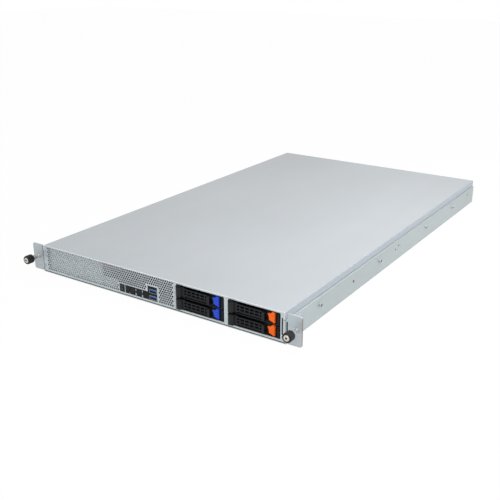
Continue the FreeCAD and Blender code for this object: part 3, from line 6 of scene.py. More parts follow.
import bmesh
import bpy
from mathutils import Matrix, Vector
from mathutils.geometry import delaunay_2d_cdt


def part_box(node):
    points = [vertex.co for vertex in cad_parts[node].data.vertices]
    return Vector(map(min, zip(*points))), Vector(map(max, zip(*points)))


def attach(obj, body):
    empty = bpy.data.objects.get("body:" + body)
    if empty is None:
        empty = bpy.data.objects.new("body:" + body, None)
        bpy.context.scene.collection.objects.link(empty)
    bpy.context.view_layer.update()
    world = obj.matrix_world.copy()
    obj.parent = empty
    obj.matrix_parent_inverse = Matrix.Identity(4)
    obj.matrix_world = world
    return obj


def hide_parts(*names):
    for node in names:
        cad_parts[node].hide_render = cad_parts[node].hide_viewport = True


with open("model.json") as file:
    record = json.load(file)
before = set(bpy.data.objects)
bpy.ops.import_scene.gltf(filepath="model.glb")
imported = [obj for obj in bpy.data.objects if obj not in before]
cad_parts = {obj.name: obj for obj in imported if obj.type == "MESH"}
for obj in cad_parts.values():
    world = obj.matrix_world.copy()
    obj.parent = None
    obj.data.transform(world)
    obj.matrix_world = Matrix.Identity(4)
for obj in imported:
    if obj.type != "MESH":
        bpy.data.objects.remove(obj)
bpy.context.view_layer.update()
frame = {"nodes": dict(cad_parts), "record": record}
NODES = frame["nodes"]
SLOT_OF = {part["node"]: part["material_slot"] for part in frame["record"]["subparts"]}
MM = 0.001


def span(node):
    """Lowest and highest corner of a CAD node in millimetres."""
    low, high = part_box(node)
    return low / MM, high / MM


# ---- finishes -----------------------------------------------------------------------------

# The grain's and the slow drift's shares of the tone, and the values at its ends. Depth is in metres.
FINE_DETAIL, FINE_SHARE = 3.0, 0.45
DRIFT_SCALE, DRIFT_DETAIL, DRIFT_SHARE = 7.0, 2.0, 0.55
DARKEST_AT, PALEST_AT = 0.3, 0.7
RELIEF_DEPTH = 0.0002


def linear(levels):
    """Linear colour from sRGB levels of 0 to 255."""
    def one(level):
        level /= 255
        return level / 12.92 if level <= 0.04045 else ((level + 0.055) / 1.055) ** 2.4
    return tuple(one(level) for level in levels) + (1.0,)


def toned(colour, factor):
    """A linear colour made darker or paler by a factor."""
    return tuple(min(1.0, level * factor) for level in colour[:3]) + (1.0,)


def noise(tree, coordinates, scale, detail):
    """Output of a noise texture."""
    texture = tree.nodes.new("ShaderNodeTexNoise")
    texture.inputs["Scale"].default_value = scale
    texture.inputs["Detail"].default_value = detail
    tree.links.new(coordinates, texture.inputs["Vector"])
    return texture.outputs["Fac"]


def reckon(tree, operation, *terms):
    """Output of an operation on sockets and plain numbers."""
    node = tree.nodes.new("ShaderNodeMath")
    node.operation = operation
    for socket, term in zip(node.inputs, terms):
        if isinstance(term, (int, float)):
            socket.default_value = term
        else:
            tree.links.new(term, socket)
    return node.outputs[0]


def drifting(tree, levels, drift, fine, place):
    """A colour that drifts a little about the given one."""
    slow = noise(tree, place, DRIFT_SCALE, DRIFT_DETAIL)
    ramp = tree.nodes.new("ShaderNodeValToRGB")
    dark, pale = ramp.color_ramp.elements
    dark.position, pale.position = DARKEST_AT, PALEST_AT
    dark.color, pale.color = toned(linear(levels), 1 - drift), toned(linear(levels), 1 + drift)
    both = reckon(tree, "MULTIPLY_ADD", fine, FINE_SHARE, reckon(tree, "MULTIPLY", slow, DRIFT_SHARE))
    tree.links.new(both, ramp.inputs["Fac"])
    return ramp.outputs["Color"]


def repainted(tree, paint, along, test, limit, levels):
    """The paint with another colour where the distance along an axis passes the test."""
    mixed = tree.nodes.new("ShaderNodeMix")
    mixed.data_type = "RGBA"
    mixed.inputs["B"].default_value = linear(levels)
    tree.links.new(reckon(tree, test, along, limit), mixed.inputs["Factor"])
    tree.links.new(paint, mixed.inputs["A"])
    return mixed.outputs["Result"]


def finish(name, levels, metal, rough, grain, bump, drift, stretch=(1, 1, 1), coat=0.0, shine=0.5,
           edge=None, front_highlight=None):
    """A surface finish: sRGB levels, metal, range of roughness, fineness of the grain and strength
    of its relief, and share of the slow drifts of tone. Edge is (metres from mid-width, levels) for what
    lies further out; on the cover it is a painted reflection. The front lip (metres behind the rack face,
    levels) is a painted highlight for what lies before that."""
    made = bpy.data.materials.new(name)
    made.use_nodes = True
    tree = made.node_tree
    nodes, links = tree.nodes, tree.links
    shader = nodes["Principled BSDF"]
    shader.inputs["Metallic"].default_value = metal
    shader.inputs["Coat Weight"].default_value = coat
    shader.inputs["Specular IOR Level"].default_value = shine
    place = nodes.new("ShaderNodeTexCoord").outputs["Object"]
    scaled = nodes.new("ShaderNodeMapping")
    scaled.inputs["Scale"].default_value = stretch
    links.new(place, scaled.inputs["Vector"])
    fine = noise(tree, scaled.outputs["Vector"], grain, FINE_DETAIL)
    paint = drifting(tree, levels, drift, fine, place)
    apart = nodes.new("ShaderNodeSeparateXYZ")
    links.new(place, apart.inputs["Vector"])
    if edge:
        paint = repainted(tree, paint, reckon(tree, "ABSOLUTE", apart.outputs["X"]), "GREATER_THAN", *edge)
    if front_highlight:
        paint = repainted(tree, paint, apart.outputs["Y"], "LESS_THAN", *front_highlight)
    links.new(paint, shader.inputs["Base Color"])
    gloss = nodes.new("ShaderNodeMapRange")
    gloss.inputs["To Min"].default_value, gloss.inputs["To Max"].default_value = rough
    links.new(fine, gloss.inputs["Value"])
    links.new(gloss.outputs["Result"], shader.inputs["Roughness"])
    relief = nodes.new("ShaderNodeBump")
    relief.inputs["Strength"].default_value = bump
    relief.inputs["Distance"].default_value = RELIEF_DEPTH
    links.new(fine, relief.inputs["Height"])
    links.new(relief.outputs["Normal"], shader.inputs["Normal"])
    return made


MATT, DULL, SATIN = 0.05, 0.2, 0.3
EAR_RIM = (span("ear_right")[1].x - 0.15) * MM
# Past this the cover's side band is tinted bluish, a painted reflection of its bend.
COVER_REFLECTION_EDGE = (span("top_cover")[1].x - 1.2) * MM
# Before this the cover's front edge is made pale, a painted highlight.
COVER_HIGHLIGHT_EDGE = NODES["top_cover"].bound_box[0][1] + 0.7 * MM
FINISHES = {
    "galvanised": finish("zinc_sheet", (198, 205, 208), 0.35, (0.38, 0.50), 420, 0.10, 0.05),
    # Cover: bluish side band as painted reflection, pale front lip as painted highlight.
    "cover_sheet": finish("cover_zinc_painted_highlights", (184, 188, 191), 0.35, (0.40, 0.48), 34, 0.012, 0.035,
                          stretch=(1, 0.04, 1), edge=(COVER_REFLECTION_EDGE, (174, 182, 189)),
                          front_highlight=(COVER_HIGHLIGHT_EDGE, (230, 234, 236))),
    "tray_sheet": finish("tray_zinc", (174, 182, 183), 0.35, (0.38, 0.50), 160, 0.08, 0.06),
    "ear_sheet": finish("ear_zinc", (186, 194, 198), 0.45, (0.34, 0.46), 520, 0.10, 0.06,
                        edge=(EAR_RIM, (132, 112, 100))),
    "inner_sheet": finish("inner_zinc", (150, 156, 160), 0.5, (0.38, 0.52), 420, 0.10, 0.05),
    # Riser sheet made near white and not metallic: painted light, as it shows lit through the mesh holes.
    "painted_lit_riser": finish("riser_painted_light", (250, 252, 253), 0.0, (0.45, 0.60), 420, 0.10, 0.03),
    # Drive cage made dark all over: painted shade inside the bays.
    "cage_painted_shade": finish("cage_painted_shade", (52, 54, 57), 0.3, (0.40, 0.55), 420, 0.10, 0.05, shine=DULL),
    "bright_steel": finish("bright_steel", (205, 205, 205), 0.9, (0.18, 0.28), 900, 0.08, 0.04),
    "screw_steel": finish("screw_steel", (214, 205, 197), 0.8, (0.25, 0.36), 900, 0.08, 0.04),
    "usb_metal": finish("usb_metal", (180, 182, 184), 0.9, (0.22, 0.34), 900, 0.08, 0.04),
    "fin_metal": finish("fin_metal", (205, 208, 212), 0.9, (0.28, 0.42), 500, 0.10, 0.05),
    "brass_post": finish("brass_post", (214, 180, 104), 0.95, (0.22, 0.34), 900, 0.08, 0.05),
    "black_plastic": finish("black_plastic", (20, 20, 22), 0.0, (0.42, 0.58), 2600, 0.25, 0.12, shine=DULL),
    "grey_plastic": finish("grey_plastic", (33, 34, 37), 0.0, (0.36, 0.50), 2600, 0.20, 0.12, shine=DULL),
    "knob_plastic": finish("knob_plastic", (20, 20, 22), 0.0, (0.30, 0.44), 1800, 0.15, 0.12, shine=SATIN),
    "blue_plastic": finish("blue_plastic", (42, 76, 205), 0.0, (0.30, 0.42), 2200, 0.12, 0.06, shine=DULL),
    "orange_plastic": finish("orange_plastic", (255, 104, 14), 0.0, (0.30, 0.42), 2200, 0.12, 0.04,
                             shine=DULL),
    "usb_blue": finish("usb_blue", (44, 112, 186), 0.0, (0.28, 0.40), 2200, 0.08, 0.06, shine=DULL),
    "status_blue": finish("status_blue", (58, 104, 136), 0.0, (0.28, 0.40), 2200, 0.08, 0.06, shine=DULL),
    "window": finish("light_window", (44, 62, 68), 0.0, (0.16, 0.26), 900, 0.03, 0.05, coat=0.2,
                     shine=DULL),
    "board": finish("board_mask", (16, 48, 32), 0.0, (0.30, 0.44), 700, 0.15, 0.15),
    "front_board": finish("front_board_mask", (22, 26, 28), 0.0, (0.30, 0.44), 700, 0.15, 0.15, shine=DULL),
    "module_board": finish("module_board", (24, 78, 46), 0.0, (0.30, 0.44), 700, 0.15, 0.15),
    "socket_plastic": finish("socket_plastic", (38, 38, 40), 0.0, (0.42, 0.56), 1800, 0.12, 0.10,
                             shine=SATIN),
    "fan_plastic": finish("fan_plastic", (30, 30, 32), 0.0, (0.38, 0.52), 1800, 0.15, 0.10, shine=SATIN),
    "duct_plastic": finish("duct_plastic", (44, 44, 47), 0.0, (0.36, 0.50), 1500, 0.12, 0.10, shine=SATIN),
    "cable": finish("ribbon_cable", (150, 152, 156), 0.0, (0.45, 0.60), 900, 0.20, 0.08,
                    stretch=(6, 0.2, 1)),
    # Dark bluish core of the studs: blue zinc tone darkened as painted shade of the stud's hole.
    "stud_core_painted_shade": finish("stud_core_painted_shade", (30, 62, 86), 0.0, (0.30, 0.42), 900, 0.08, 0.06, shine=DULL),
    # Near-black matt finish of the discs behind the side holes: painted shade.
    "hole_painted_shade": finish("hole_painted_shade", (10, 10, 11), 0.0, (0.50, 0.62), 900, 0.08, 0.06, shine=MATT),
    "tag_card": finish("tag_card", (20, 20, 22), 0.0, (0.40, 0.54), 1800, 0.10, 0.10, shine=DULL),
}
OWN_FINISH = {"chassis_tray": "tray_sheet", "ear_left": "ear_sheet", "ear_right": "ear_sheet",
              "riser_cage": "painted_lit_riser", "drive_cage": "cage_painted_shade", "front_io_board": "front_board"}


def dress(thing, finish_name):
    """Give an object one finish all over."""
    thing.data.materials.clear()
    thing.data.materials.append(FINISHES[finish_name])


for node, thing in NODES.items():
    dress(thing, OWN_FINISH.get(node, SLOT_OF[node]))


# ---- making pieces --------------------------------------------------------------------------

# From here to the studio all sizes are in millimetres, along the frame's axes.
WELD = 1e-5
SOFT_STEPS, SOFT_ANGLE = 2, 40


def add_piece(bm, name, slot, body, stands_for=(), finish_name=None, soften=None):
    """Turn a bmesh built in millimetres into a piece of the object; soften rounds its edges."""
    bmesh.ops.scale(bm, vec=(MM, MM, MM), verts=bm.verts)
    bmesh.ops.recalc_face_normals(bm, faces=bm.faces)
    mesh = bpy.data.meshes.new(name)
    bm.to_mesh(mesh)
    bm.free()
    piece = bpy.data.objects.new(name, mesh)
    bpy.context.scene.collection.objects.link(piece)
    if soften:
        bevel = piece.modifiers.new("soften", "BEVEL")
        bevel.width = soften * MM
        bevel.segments = SOFT_STEPS
        bevel.limit_method = "ANGLE"
        bevel.angle_limit = math.radians(SOFT_ANGLE)
    dress(piece, finish_name or slot)
    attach(piece, body)
    if stands_for:
        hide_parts(*stands_for)
    return piece


def oblong(x, z):
    """Outline of a rectangle, from (low, high) pairs."""
    return [(x[0], z[0]), (x[1], z[0]), (x[1], z[1]), (x[0], z[1])]


def chamfered(x, z, cut):
    """Outline of a rectangle with cut corners, from (low, high) pairs."""
    return [(x[0] + cut, z[0]), (x[1] - cut, z[0]), (x[1], z[0] + cut), (x[1], z[1] - cut),
            (x[1] - cut, z[1]), (x[0] + cut, z[1]), (x[0], z[1] - cut), (x[0], z[0] + cut)]


def rounded(x, z, radius, steps=4):
    """Outline of a rectangle with rounded corners, from (low, high) pairs."""
    points = []
    for cx, cz, start in ((x[0] + radius, z[0] + radius, 180), (x[1] - radius, z[0] + radius, 270),
                          (x[1] - radius, z[1] - radius, 0), (x[0] + radius, z[1] - radius, 90)):
        for k in range(steps + 1):
            angle = math.radians(start + 90 * k / steps)
            points.append((cx + radius * math.cos(angle), cz + radius * math.sin(angle)))
    return points


def hexagon(x, z, radius):
    """Outline of a hexagon that stands on a corner."""
    turns = [math.radians(30 + 60 * k) for k in range(6)]
    return [(x + radius * math.cos(turn), z + radius * math.sin(turn)) for turn in turns]


def grow_plate(bm, outline, holes, start, end):
    """Add a flat plate across Y with holes through it; outlines are (x, z) in millimetres."""
    points, faces = [], []
    for loop in [outline] + holes:
        turn = sum(a[0] * b[1] - b[0] * a[1] for a, b in zip(loop, loop[1:] + loop[:1]))
        loop = loop if turn > 0 else loop[::-1]
        faces.append(list(range(len(points), len(points) + len(loop))))
        points += [Vector(point) for point in loop]
    flat, _, cells, _, _, owners = delaunay_2d_cdt(points, [], faces, 1, WELD)
    corners = [bm.verts.new((x, start, z)) for x, z in flat]
    solid_cells = [cell for cell, owner in zip(cells, owners) if list(owner) == [0]]
    grown = [bm.faces.new([corners[i] for i in cell]) for cell in solid_cells]
    deep = bmesh.ops.extrude_face_region(bm, geom=grown)["geom"]
    moved = [item for item in deep if isinstance(item, bmesh.types.BMVert)]
    bmesh.ops.translate(bm, vec=(0, end - start, 0), verts=moved)
    bmesh.ops.delete(bm, geom=[v for v in bm.verts if not v.link_faces], context="VERTS")


def grow_block(bm, x, y, z):
    """Add a block from (low, high) pairs in millimetres."""
    size = Vector((x[1] - x[0], y[1] - y[0], z[1] - z[0]))
    middle = Vector(((x[0] + x[1]) / 2, (y[0] + y[1]) / 2, (z[0] + z[1]) / 2))
    for corner in bmesh.ops.create_cube(bm, size=1)["verts"]:
        corner.co = Vector(a * b for a, b in zip(corner.co, size)) + middle


def grow_turned(bm, profile, centre, along="Y", sides=48, hollow=False, ripple=None):
    """Add a turned form: profile is (distance along the axis, radius) pairs, centre the axis point.
    A hollow form closes its profile on itself. Ripple(angle, step) gives a factor on the radius."""
    rings = []
    for step, (run, radius) in enumerate(profile):
        ring = []
        for k in range(sides):
            angle = 2 * math.pi * k / sides
            reach = radius * (ripple(angle, step) if ripple else 1)
            a, b = reach * math.cos(angle), reach * math.sin(angle)
            spot = {"X": (run, a, b), "Y": (a, run, b), "Z": (a, b, run)}[along]
            ring.append(bm.verts.new(Vector(spot) + Vector(centre)))
        rings.append(ring)
    after_each = rings[1:] + rings[:1] if hollow else rings[1:]
    for before, after in zip(rings, after_each):
        for k in range(sides):
            bm.faces.new((before[k], before[(k + 1) % sides], after[(k + 1) % sides], after[k]))
    if not hollow:
        for ring in (rings[0], rings[-1]):
            bm.faces.new(ring)


# ---- perforated front sheet -----------------------------------------------------------------

SHEET = 1.2
SEAM = 0.8
SHOULDER, SHOULDER_STEP = 32.0, 1.8
MOULD_GAP = 0.1
MESH_PITCH, HOLE_FLATS, WEB = 3.9, 3.05, 0.3
MESH_INSET, MESH_MARGIN, MESH_ROWS = (8.9, 5.1), 2.6, 11
PORTS_WIDTH, STRIP_HEIGHT = 17.0, 12.2
FLANGE_DEPTH, FLANGE_INSET = 12.0, 3.3
VENT_SLOT = ((1.6, 2.8), (5.9, 10.3))
STEP_FOOT, STEP_TOP, STEP_END, STEP_SLANT = 2.0, 17.3, 12.0, 7.0


def mesh_holes(low, high, notch):
    """Staggered honeycomb over the sheet, left out round the two steps of the notch."""
    clear = MESH_PITCH / 2 + WEB
    left, right = notch[0][0] - clear, notch[1][0] + clear
    ports_left, ports_top = notch[3][0] - clear, notch[2][1] + clear
    strip_top = notch[4][1] + clear
    holes = []
    for row in range(MESH_ROWS):
        z = low.z + MESH_INSET[1] + row * MESH_PITCH * math.sqrt(3) / 2
        x = low.x + MESH_INSET[0] + (MESH_PITCH / 2 if row % 2 else 0)
        while x < high.x - MESH_MARGIN:
            beside_strip = left < x < right and z < strip_top
            beside_ports = ports_left < x < right and z < ports_top
            if not beside_strip and not beside_ports:
                holes.append(hexagon(x, z, HOLE_FLATS / math.sqrt(3)))
            x += MESH_PITCH
    return holes


def make_vent():
    """Front sheet with its fine honeycomb, folded back at the top and bottom."""
    low, high = span("vent_panel")
    mould_low, mould_high = span("front_moulding")
    rim = [(low.x, low.z + SEAM), (high.x, low.z + SEAM), (high.x, high.z),
           (low.x + SHOULDER_STEP, high.z), (low.x + SHOULDER_STEP, SHOULDER), (low.x, SHOULDER)]
    left, right = mould_low.x - MOULD_GAP, mould_high.x + MOULD_GAP
    bottom, top = mould_low.z - MOULD_GAP, mould_high.z + MOULD_GAP
    ports_left, strip_top = mould_high.x - PORTS_WIDTH, mould_low.z + STRIP_HEIGHT
    notch = [(left, bottom), (right, bottom), (right, top), (ports_left, top), (ports_left, strip_top),
             (left, strip_top)]
    slot = oblong([low.x + run for run in VENT_SLOT[0]], [low.z + rise for rise in VENT_SLOT[1]])
    bm = bmesh.new()
    grow_plate(bm, rim, [notch, slot] + mesh_holes(low, high, notch), low.y, low.y + SHEET)
    flange = (low.y + SHEET, low.y + SHEET + FLANGE_DEPTH)
    grow_block(bm, (low.x + FLANGE_INSET, high.x), flange, (high.z - SHEET, high.z))
    grow_block(bm, (low.x, high.x), flange, (low.z, low.z + SHEET))
    add_piece(bm, "vent_mesh", "galvanised", "chassis", ["vent_panel"])


def make_riser_step():
    """Low step of the riser cage beside its touch tab, with a slanted end before the control strip."""
    low, high = span("riser_cage")
    left, right = high.x + 0.1, span("front_moulding")[0].x - STEP_END
    foot, top = low.z + STEP_FOOT, low.z + STEP_TOP
    bm = bmesh.new()
    outline = [(left, foot), (right, foot), (right + STEP_SLANT, top), (left, top)]
    grow_plate(bm, outline, [], low.y, low.y + SHEET)
    # The step takes the riser's near-white finish, painted light seen through the mesh.
    add_piece(bm, "riser_step", "galvanised", "chassis", finish_name="painted_lit_riser")


make_vent()
make_riser_step()


# ---- drive bays -----------------------------------------------------------------------------

BAY_HALF, BAY_CORNER = 40.1, 1.6
BAY_FLOOR, BAY_TOP = 4.6, 41.2
FINGERS, FINGER_PITCH, FINGER_WIDTH, FINGER_INSET = 10, 7.5, 1.8, 5.5
FINGER_DEPTH, FINGER_BELOW, FINGER_ABOVE = (-1.9, -1.4), 0.85, 0.3
TAG_LEFT_GAP, TAG_RIGHT_GAP, TAG_END_GAP, TAG_CORNER = 0.9, 0.1, 0.2, 0.5
# Depth, reach below and reach above of the black strip under the front sheets: painted shade in the seam.
SEAM_SHADE_DEPTH, SEAM_SHADE_BELOW, SEAM_SHADE_ABOVE = (0.35, 0.9), 0.2, 0.4


def bay_middles():
    """Middle of each bay, where two trays lie one over the other."""
    boxes = [span(f"tray_carrier_{number}") for number in (1, 3)]
    return [(low.x + high.x) / 2 for low, high in boxes]


def make_bay_plate():
    """Front sheet round the drive bays, with rounded openings and the slot of the tag."""
    low, high = span("bay_frame")
    tag_low, tag_high = span("info_tag")
    rim = [(low.x, low.z + SEAM), (high.x, low.z + SEAM), (high.x, SHOULDER),
           (high.x - SHOULDER_STEP, SHOULDER), (high.x - SHOULDER_STEP, high.z), (low.x, high.z)]
    openings = [rounded((middle - BAY_HALF, middle + BAY_HALF), (BAY_FLOOR, BAY_TOP), BAY_CORNER)
                for middle in bay_middles()]
    slot = rounded((tag_low.x - TAG_LEFT_GAP, tag_high.x + TAG_RIGHT_GAP),
                   (tag_low.z - TAG_END_GAP, tag_high.z + TAG_END_GAP), TAG_CORNER)
    bm = bmesh.new()
    grow_plate(bm, rim, openings + [slot], low.y, high.y)
    add_piece(bm, "bay_plate", "galvanised", "chassis", ["bay_frame"])
    # Black strip behind the seam under the front sheets, painted shade of that gap.
    bm = bmesh.new()
    grow_block(bm, (-high.x, high.x), [low.y + depth for depth in SEAM_SHADE_DEPTH],
               (low.z - SEAM_SHADE_BELOW, low.z + SEAM + SEAM_SHADE_ABOVE))
    add_piece(bm, "front_seam_shade", "black_plastic", "chassis")


make_bay_plate()


# ---- control strip --------------------------------------------------------------------------

# From the moulding's lower left corner: (from, to) across and (from, to) upwards.
SEPARATORS = [((10.0, 11.3), (0.5, 11.8)), ((19.3, 20.2), (0.5, 2.5)), ((30.3, 32.3), (0.8, 3.6)),
              ((42.3, 44.3), (0.8, 3.6)), ((30.7, 31.9), (7.8, 10.5)), ((42.7, 43.9), (7.8, 11.1))]
LIGHT_PLACES = [(31.3, 5.5), (43.3, 5.5)]
# Distance behind the moulding's face, and radius.
LIGHT_DOME = [(-0.25, 0.6), (-0.15, 0.95), (0.4, 0.95)]
MARK_OUT, MARK_IN = 0.12, 0.4


def make_strip():
    """Pale separators between the cells of the control strip, and the two blue status lights."""
    corner = span("front_moulding")[0]
    marks, lights = bmesh.new(), bmesh.new()
    for x, z in SEPARATORS:
        grow_block(marks, [corner.x + run for run in x], (corner.y - MARK_OUT, corner.y + MARK_IN),
                   [corner.z + rise for rise in z])
    add_piece(marks, "strip_separators", "usb_metal", "chassis", soften=0.08)
    for x, z in LIGHT_PLACES:
        grow_turned(lights, LIGHT_DOME, (corner.x + x, corner.y, corner.z + z), sides=24)
    add_piece(lights, "status_lights", "usb_blue", "chassis", finish_name="status_blue")


make_strip()


# ---- captive thumbscrews and ferrules -------------------------------------------------------

KNURL_RIDGES, KNURL_DEPTH = 36, 0.05
KNOB_BORE = 4.38
HEAD_RADIUS, HEAD_HEIGHT = 4.3, 2.5
SOCKET_RADIUS, SOCKET_DEPTH = 1.9, 7.5
THREAD_CORE, THREAD_CREST, THREAD_PITCH, THREAD_START = 2.2, 2.5, 0.8, 1.5
AXIS_RADIUS = 0.02


def make_screw(side, x, z):
    """Captive screw: head with a deep hexagon socket, neck and thread."""
    low, high = span(f"thumbscrew_{side}")
    floor = low.y + SOCKET_DEPTH
    profile = [(floor, AXIS_RADIUS), (floor, SOCKET_RADIUS), (low.y, SOCKET_RADIUS),
               (low.y, HEAD_RADIUS - 0.6), (low.y + 0.5, HEAD_RADIUS), (low.y + HEAD_HEIGHT, HEAD_RADIUS),
               (low.y + HEAD_HEIGHT, THREAD_CORE), (THREAD_START, THREAD_CORE)]
    run = THREAD_START
    while run < high.y - 0.9:
        profile += [(run, THREAD_CORE), (run + THREAD_PITCH / 2, THREAD_CREST)]
        run += THREAD_PITCH
    profile += [(high.y - 0.5, THREAD_CORE), (high.y, 1.7), (high.y, AXIS_RADIUS)]

    def socket(angle, step):
        """Six flats for the socket's two rings, and a round form for the others."""
        if step not in (1, 2):
            return 1
        sixth = math.pi / 3
        return math.cos(sixth / 2) / math.cos((angle + sixth / 2) % sixth - sixth / 2)

    bm = bmesh.new()
    grow_turned(bm, profile, (x, 0, z), ripple=socket)
    add_piece(bm, f"screw_{side}", "screw_steel", f"screw_{side}", [f"thumbscrew_{side}"])


def make_knob(side, low, high, x, z):
    """Knob with ridges round its middle and a bore for the screw."""
    outer, depth = (high.x - low.x) / 2, high.y - low.y
    profile = [(0.9, KNOB_BORE), (0.9, 4.7), (0.0, outer - 1.7), (0.45, outer - 0.8), (1.1, outer - 0.3),
               (1.7, outer - 0.05), (2.2, outer), (depth - 1.8, outer), (depth - 1.1, outer - 0.1),
               (depth - 0.4, outer - 0.5), (depth, outer - 0.9), (depth, KNOB_BORE)]

    def knurl(angle, step):
        """Ridges on the rings between the two rounded edges."""
        if step not in (5, 6, 7, 8):
            return 1
        return 1 - KNURL_DEPTH * (0.5 + 0.5 * math.cos(KNURL_RIDGES * angle))

    bm = bmesh.new()
    grow_turned(bm, profile, (x, low.y, z), sides=6 * KNURL_RIDGES, hollow=True, ripple=knurl)
    add_piece(bm, f"knob_{side}", "knob_plastic", f"screw_{side}", [f"thumbscrew_knob_{side}"])


def make_thumbscrews():
    """Knurled knobs with their screws, and the ferrules that guide these."""
    ferrules = bmesh.new()
    ferrule_low, ferrule_high = span("ear_ferrules")
    front, back = ferrule_low.y, ferrule_high.y
    profile = [(front, 3.45), (front + 0.3, 3.7), (back - 1.3, 3.7), (back - 1.3, 4.9), (back - 0.9, 5.0),
               (back, 5.0), (back, 2.56), (front, 2.56)]
    for side in ("right", "left"):
        low, high = span(f"thumbscrew_knob_{side}")
        x, z = (low.x + high.x) / 2, (low.z + high.z) / 2
        make_knob(side, low, high, x, z)
        make_screw(side, x, z)
        grow_turned(ferrules, profile, (x, 0, z), sides=64, hollow=True)
    add_piece(ferrules, "ferrules", "bright_steel", "chassis", ["ear_ferrules"])


make_thumbscrews()


# ---- drive tray fronts ----------------------------------------------------------------------

HINGE_RADIUS, HINGE_BORE, HINGE_EDGE, BARREL_INSET = 5.2, 1.56, 0.3, 1.15
BLADE_FACE, BLADE_BACK = -3.4, -1.2
BLADE_HALF, BLADE_ROOT_HALF = 5.3, 6.9
BLADE_TIP, LUG_DEPTH = 3.6, 3.6
RIM_WIDTH, RIM_HEIGHT, RIM_START = 0.7, 0.35, 6.0
SLOT_PITCH, SLOT_WIDTH, SLOT_HEIGHT, SLOT_ROW, SLOT_CUT = 7.4, 6.0, 2.7, 2.1, 0.5
SLOT_COLUMNS, FIRST_SLOT, FIRST_SLOT_REACH = 6, 4.4, 0.9
# From the latch's left edge and the carrier's floor.
LATCH_OUTLINE = [(0.0, 12.0), (0.9, 12.8), (3.4, 12.7), (5.0, 13.4), (7.0, 15.6), (8.6, 16.0),
                 (10.4, 15.5), (11.0, 14.6), (11.0, 0.9), (10.2, 0.9), (3.6, 3.3), (2.4, 4.2),
                 (2.2, 8.6), (1.2, 10.6)]
LATCH_GAUGE = 3.4
STEM, STEM_HALF, STEM_OVERLAP = (3, 7), 2, 0.4


def blade_slots(root, middle):
    """Two rows of slots along the blade, the first of each cut short by the hinge."""
    slots = []
    for column in range(SLOT_COLUMNS):
        x = root + FIRST_SLOT + column * SLOT_PITCH
        start = x - (SLOT_WIDTH / 2 if column else FIRST_SLOT_REACH)
        for side in (-1, 1):
            z = middle + side * SLOT_ROW
            slots.append(chamfered((start, x + SLOT_WIDTH / 2), (z - SLOT_HEIGHT / 2, z + SLOT_HEIGHT / 2),
                                   SLOT_CUT))
    return slots


def make_lever(number, floor, middle):
    """Swing lever: hinge barrel, narrow slotted blade with a raised rim, and the lug at its tip."""
    low, high = span(f"tray_lever_{number}")
    pivot = (low.x + HINGE_RADIUS, low.y + HINGE_RADIUS, 0)
    root, tip = pivot[0] + HINGE_RADIUS, high.x
    blade_end = tip - BLADE_TIP
    blade = [(pivot[0], -BLADE_ROOT_HALF), (root + 3.2, -BLADE_ROOT_HALF), (root + 5.4, -BLADE_HALF),
             (blade_end, -BLADE_HALF), (blade_end, BLADE_HALF), (root + 5.0, BLADE_HALF),
             (root + 2.4, BLADE_ROOT_HALF), (pivot[0], BLADE_ROOT_HALF)]
    bm = bmesh.new()
    grow_plate(bm, [(x, middle + z) for x, z in blade], blade_slots(root, middle), BLADE_FACE, BLADE_BACK)
    raised = (BLADE_FACE - RIM_HEIGHT, BLADE_FACE + 0.2)
    bottom, top = middle - BLADE_HALF + 0.1, middle + BLADE_HALF - 0.1
    for z in ((top - RIM_WIDTH, top), (bottom, bottom + RIM_WIDTH)):
        grow_block(bm, (root + RIM_START, blade_end - 1.0), raised, z)
    grow_block(bm, (blade_end - 0.8, blade_end), raised, (bottom, top))
    grow_block(bm, (blade_end + 0.1, tip), (low.y + LUG_DEPTH, BLADE_BACK), (floor + 0.5, middle + 4.4))
    foot, head = low.z + BARREL_INSET, high.z - BARREL_INSET
    barrel = [(foot, HINGE_RADIUS - HINGE_EDGE), (foot + HINGE_EDGE, HINGE_RADIUS),
              (head - HINGE_EDGE, HINGE_RADIUS), (head, HINGE_RADIUS - HINGE_EDGE), (head, HINGE_BORE),
              (foot, HINGE_BORE)]
    grow_turned(bm, barrel, pivot, along="Z", sides=56, hollow=True)
    add_piece(bm, f"lever_{number}", "grey_plastic", f"lever_{number}", [f"tray_lever_{number}"],
              soften=0.15)
    return root, tip


def make_latch(number, floor, middle):
    """Coloured latch with its curved outline, and the stem that it slides on."""
    node = f"tray_latch_{number}"
    low, high = span(node)
    bm = bmesh.new()
    grow_plate(bm, [(low.x + x, floor + z) for x, z in LATCH_OUTLINE], [], low.y, low.y + LATCH_GAUGE)
    grow_block(bm, [low.x + run for run in STEM], (low.y + LATCH_GAUGE - STEM_OVERLAP, high.y),
               (middle - STEM_HALF, middle + STEM_HALF))
    add_piece(bm, f"latch_{number}", SLOT_OF[node], f"latch_{number}", [node], soften=0.45)


def make_sill(number, floor, root, tip):
    """Low sill of the carrier, under the blade and the latch."""
    outline = [(root + 6, 0.5), (tip + 4.2, 0.5), (tip + 7.0, 0.5), (tip + 6.0, 1.6), (tip + 3.4, 2.2),
               (root + 7, 2.0)]
    bm = bmesh.new()
    grow_plate(bm, [(x, floor + z) for x, z in outline], [], -1.1, 0.4)
    add_piece(bm, f"sill_{number}", "black_plastic", f"tray_{number}", soften=0.3)


def make_tray_front(number):
    """What shows of one drive tray: its lever, its latch and the sill below."""
    low, high = span(f"tray_carrier_{number}")
    middle = (low.z + high.z) / 2
    root, tip = make_lever(number, low.z, middle)
    make_latch(number, low.z, middle)
    make_sill(number, low.z, root, tip)


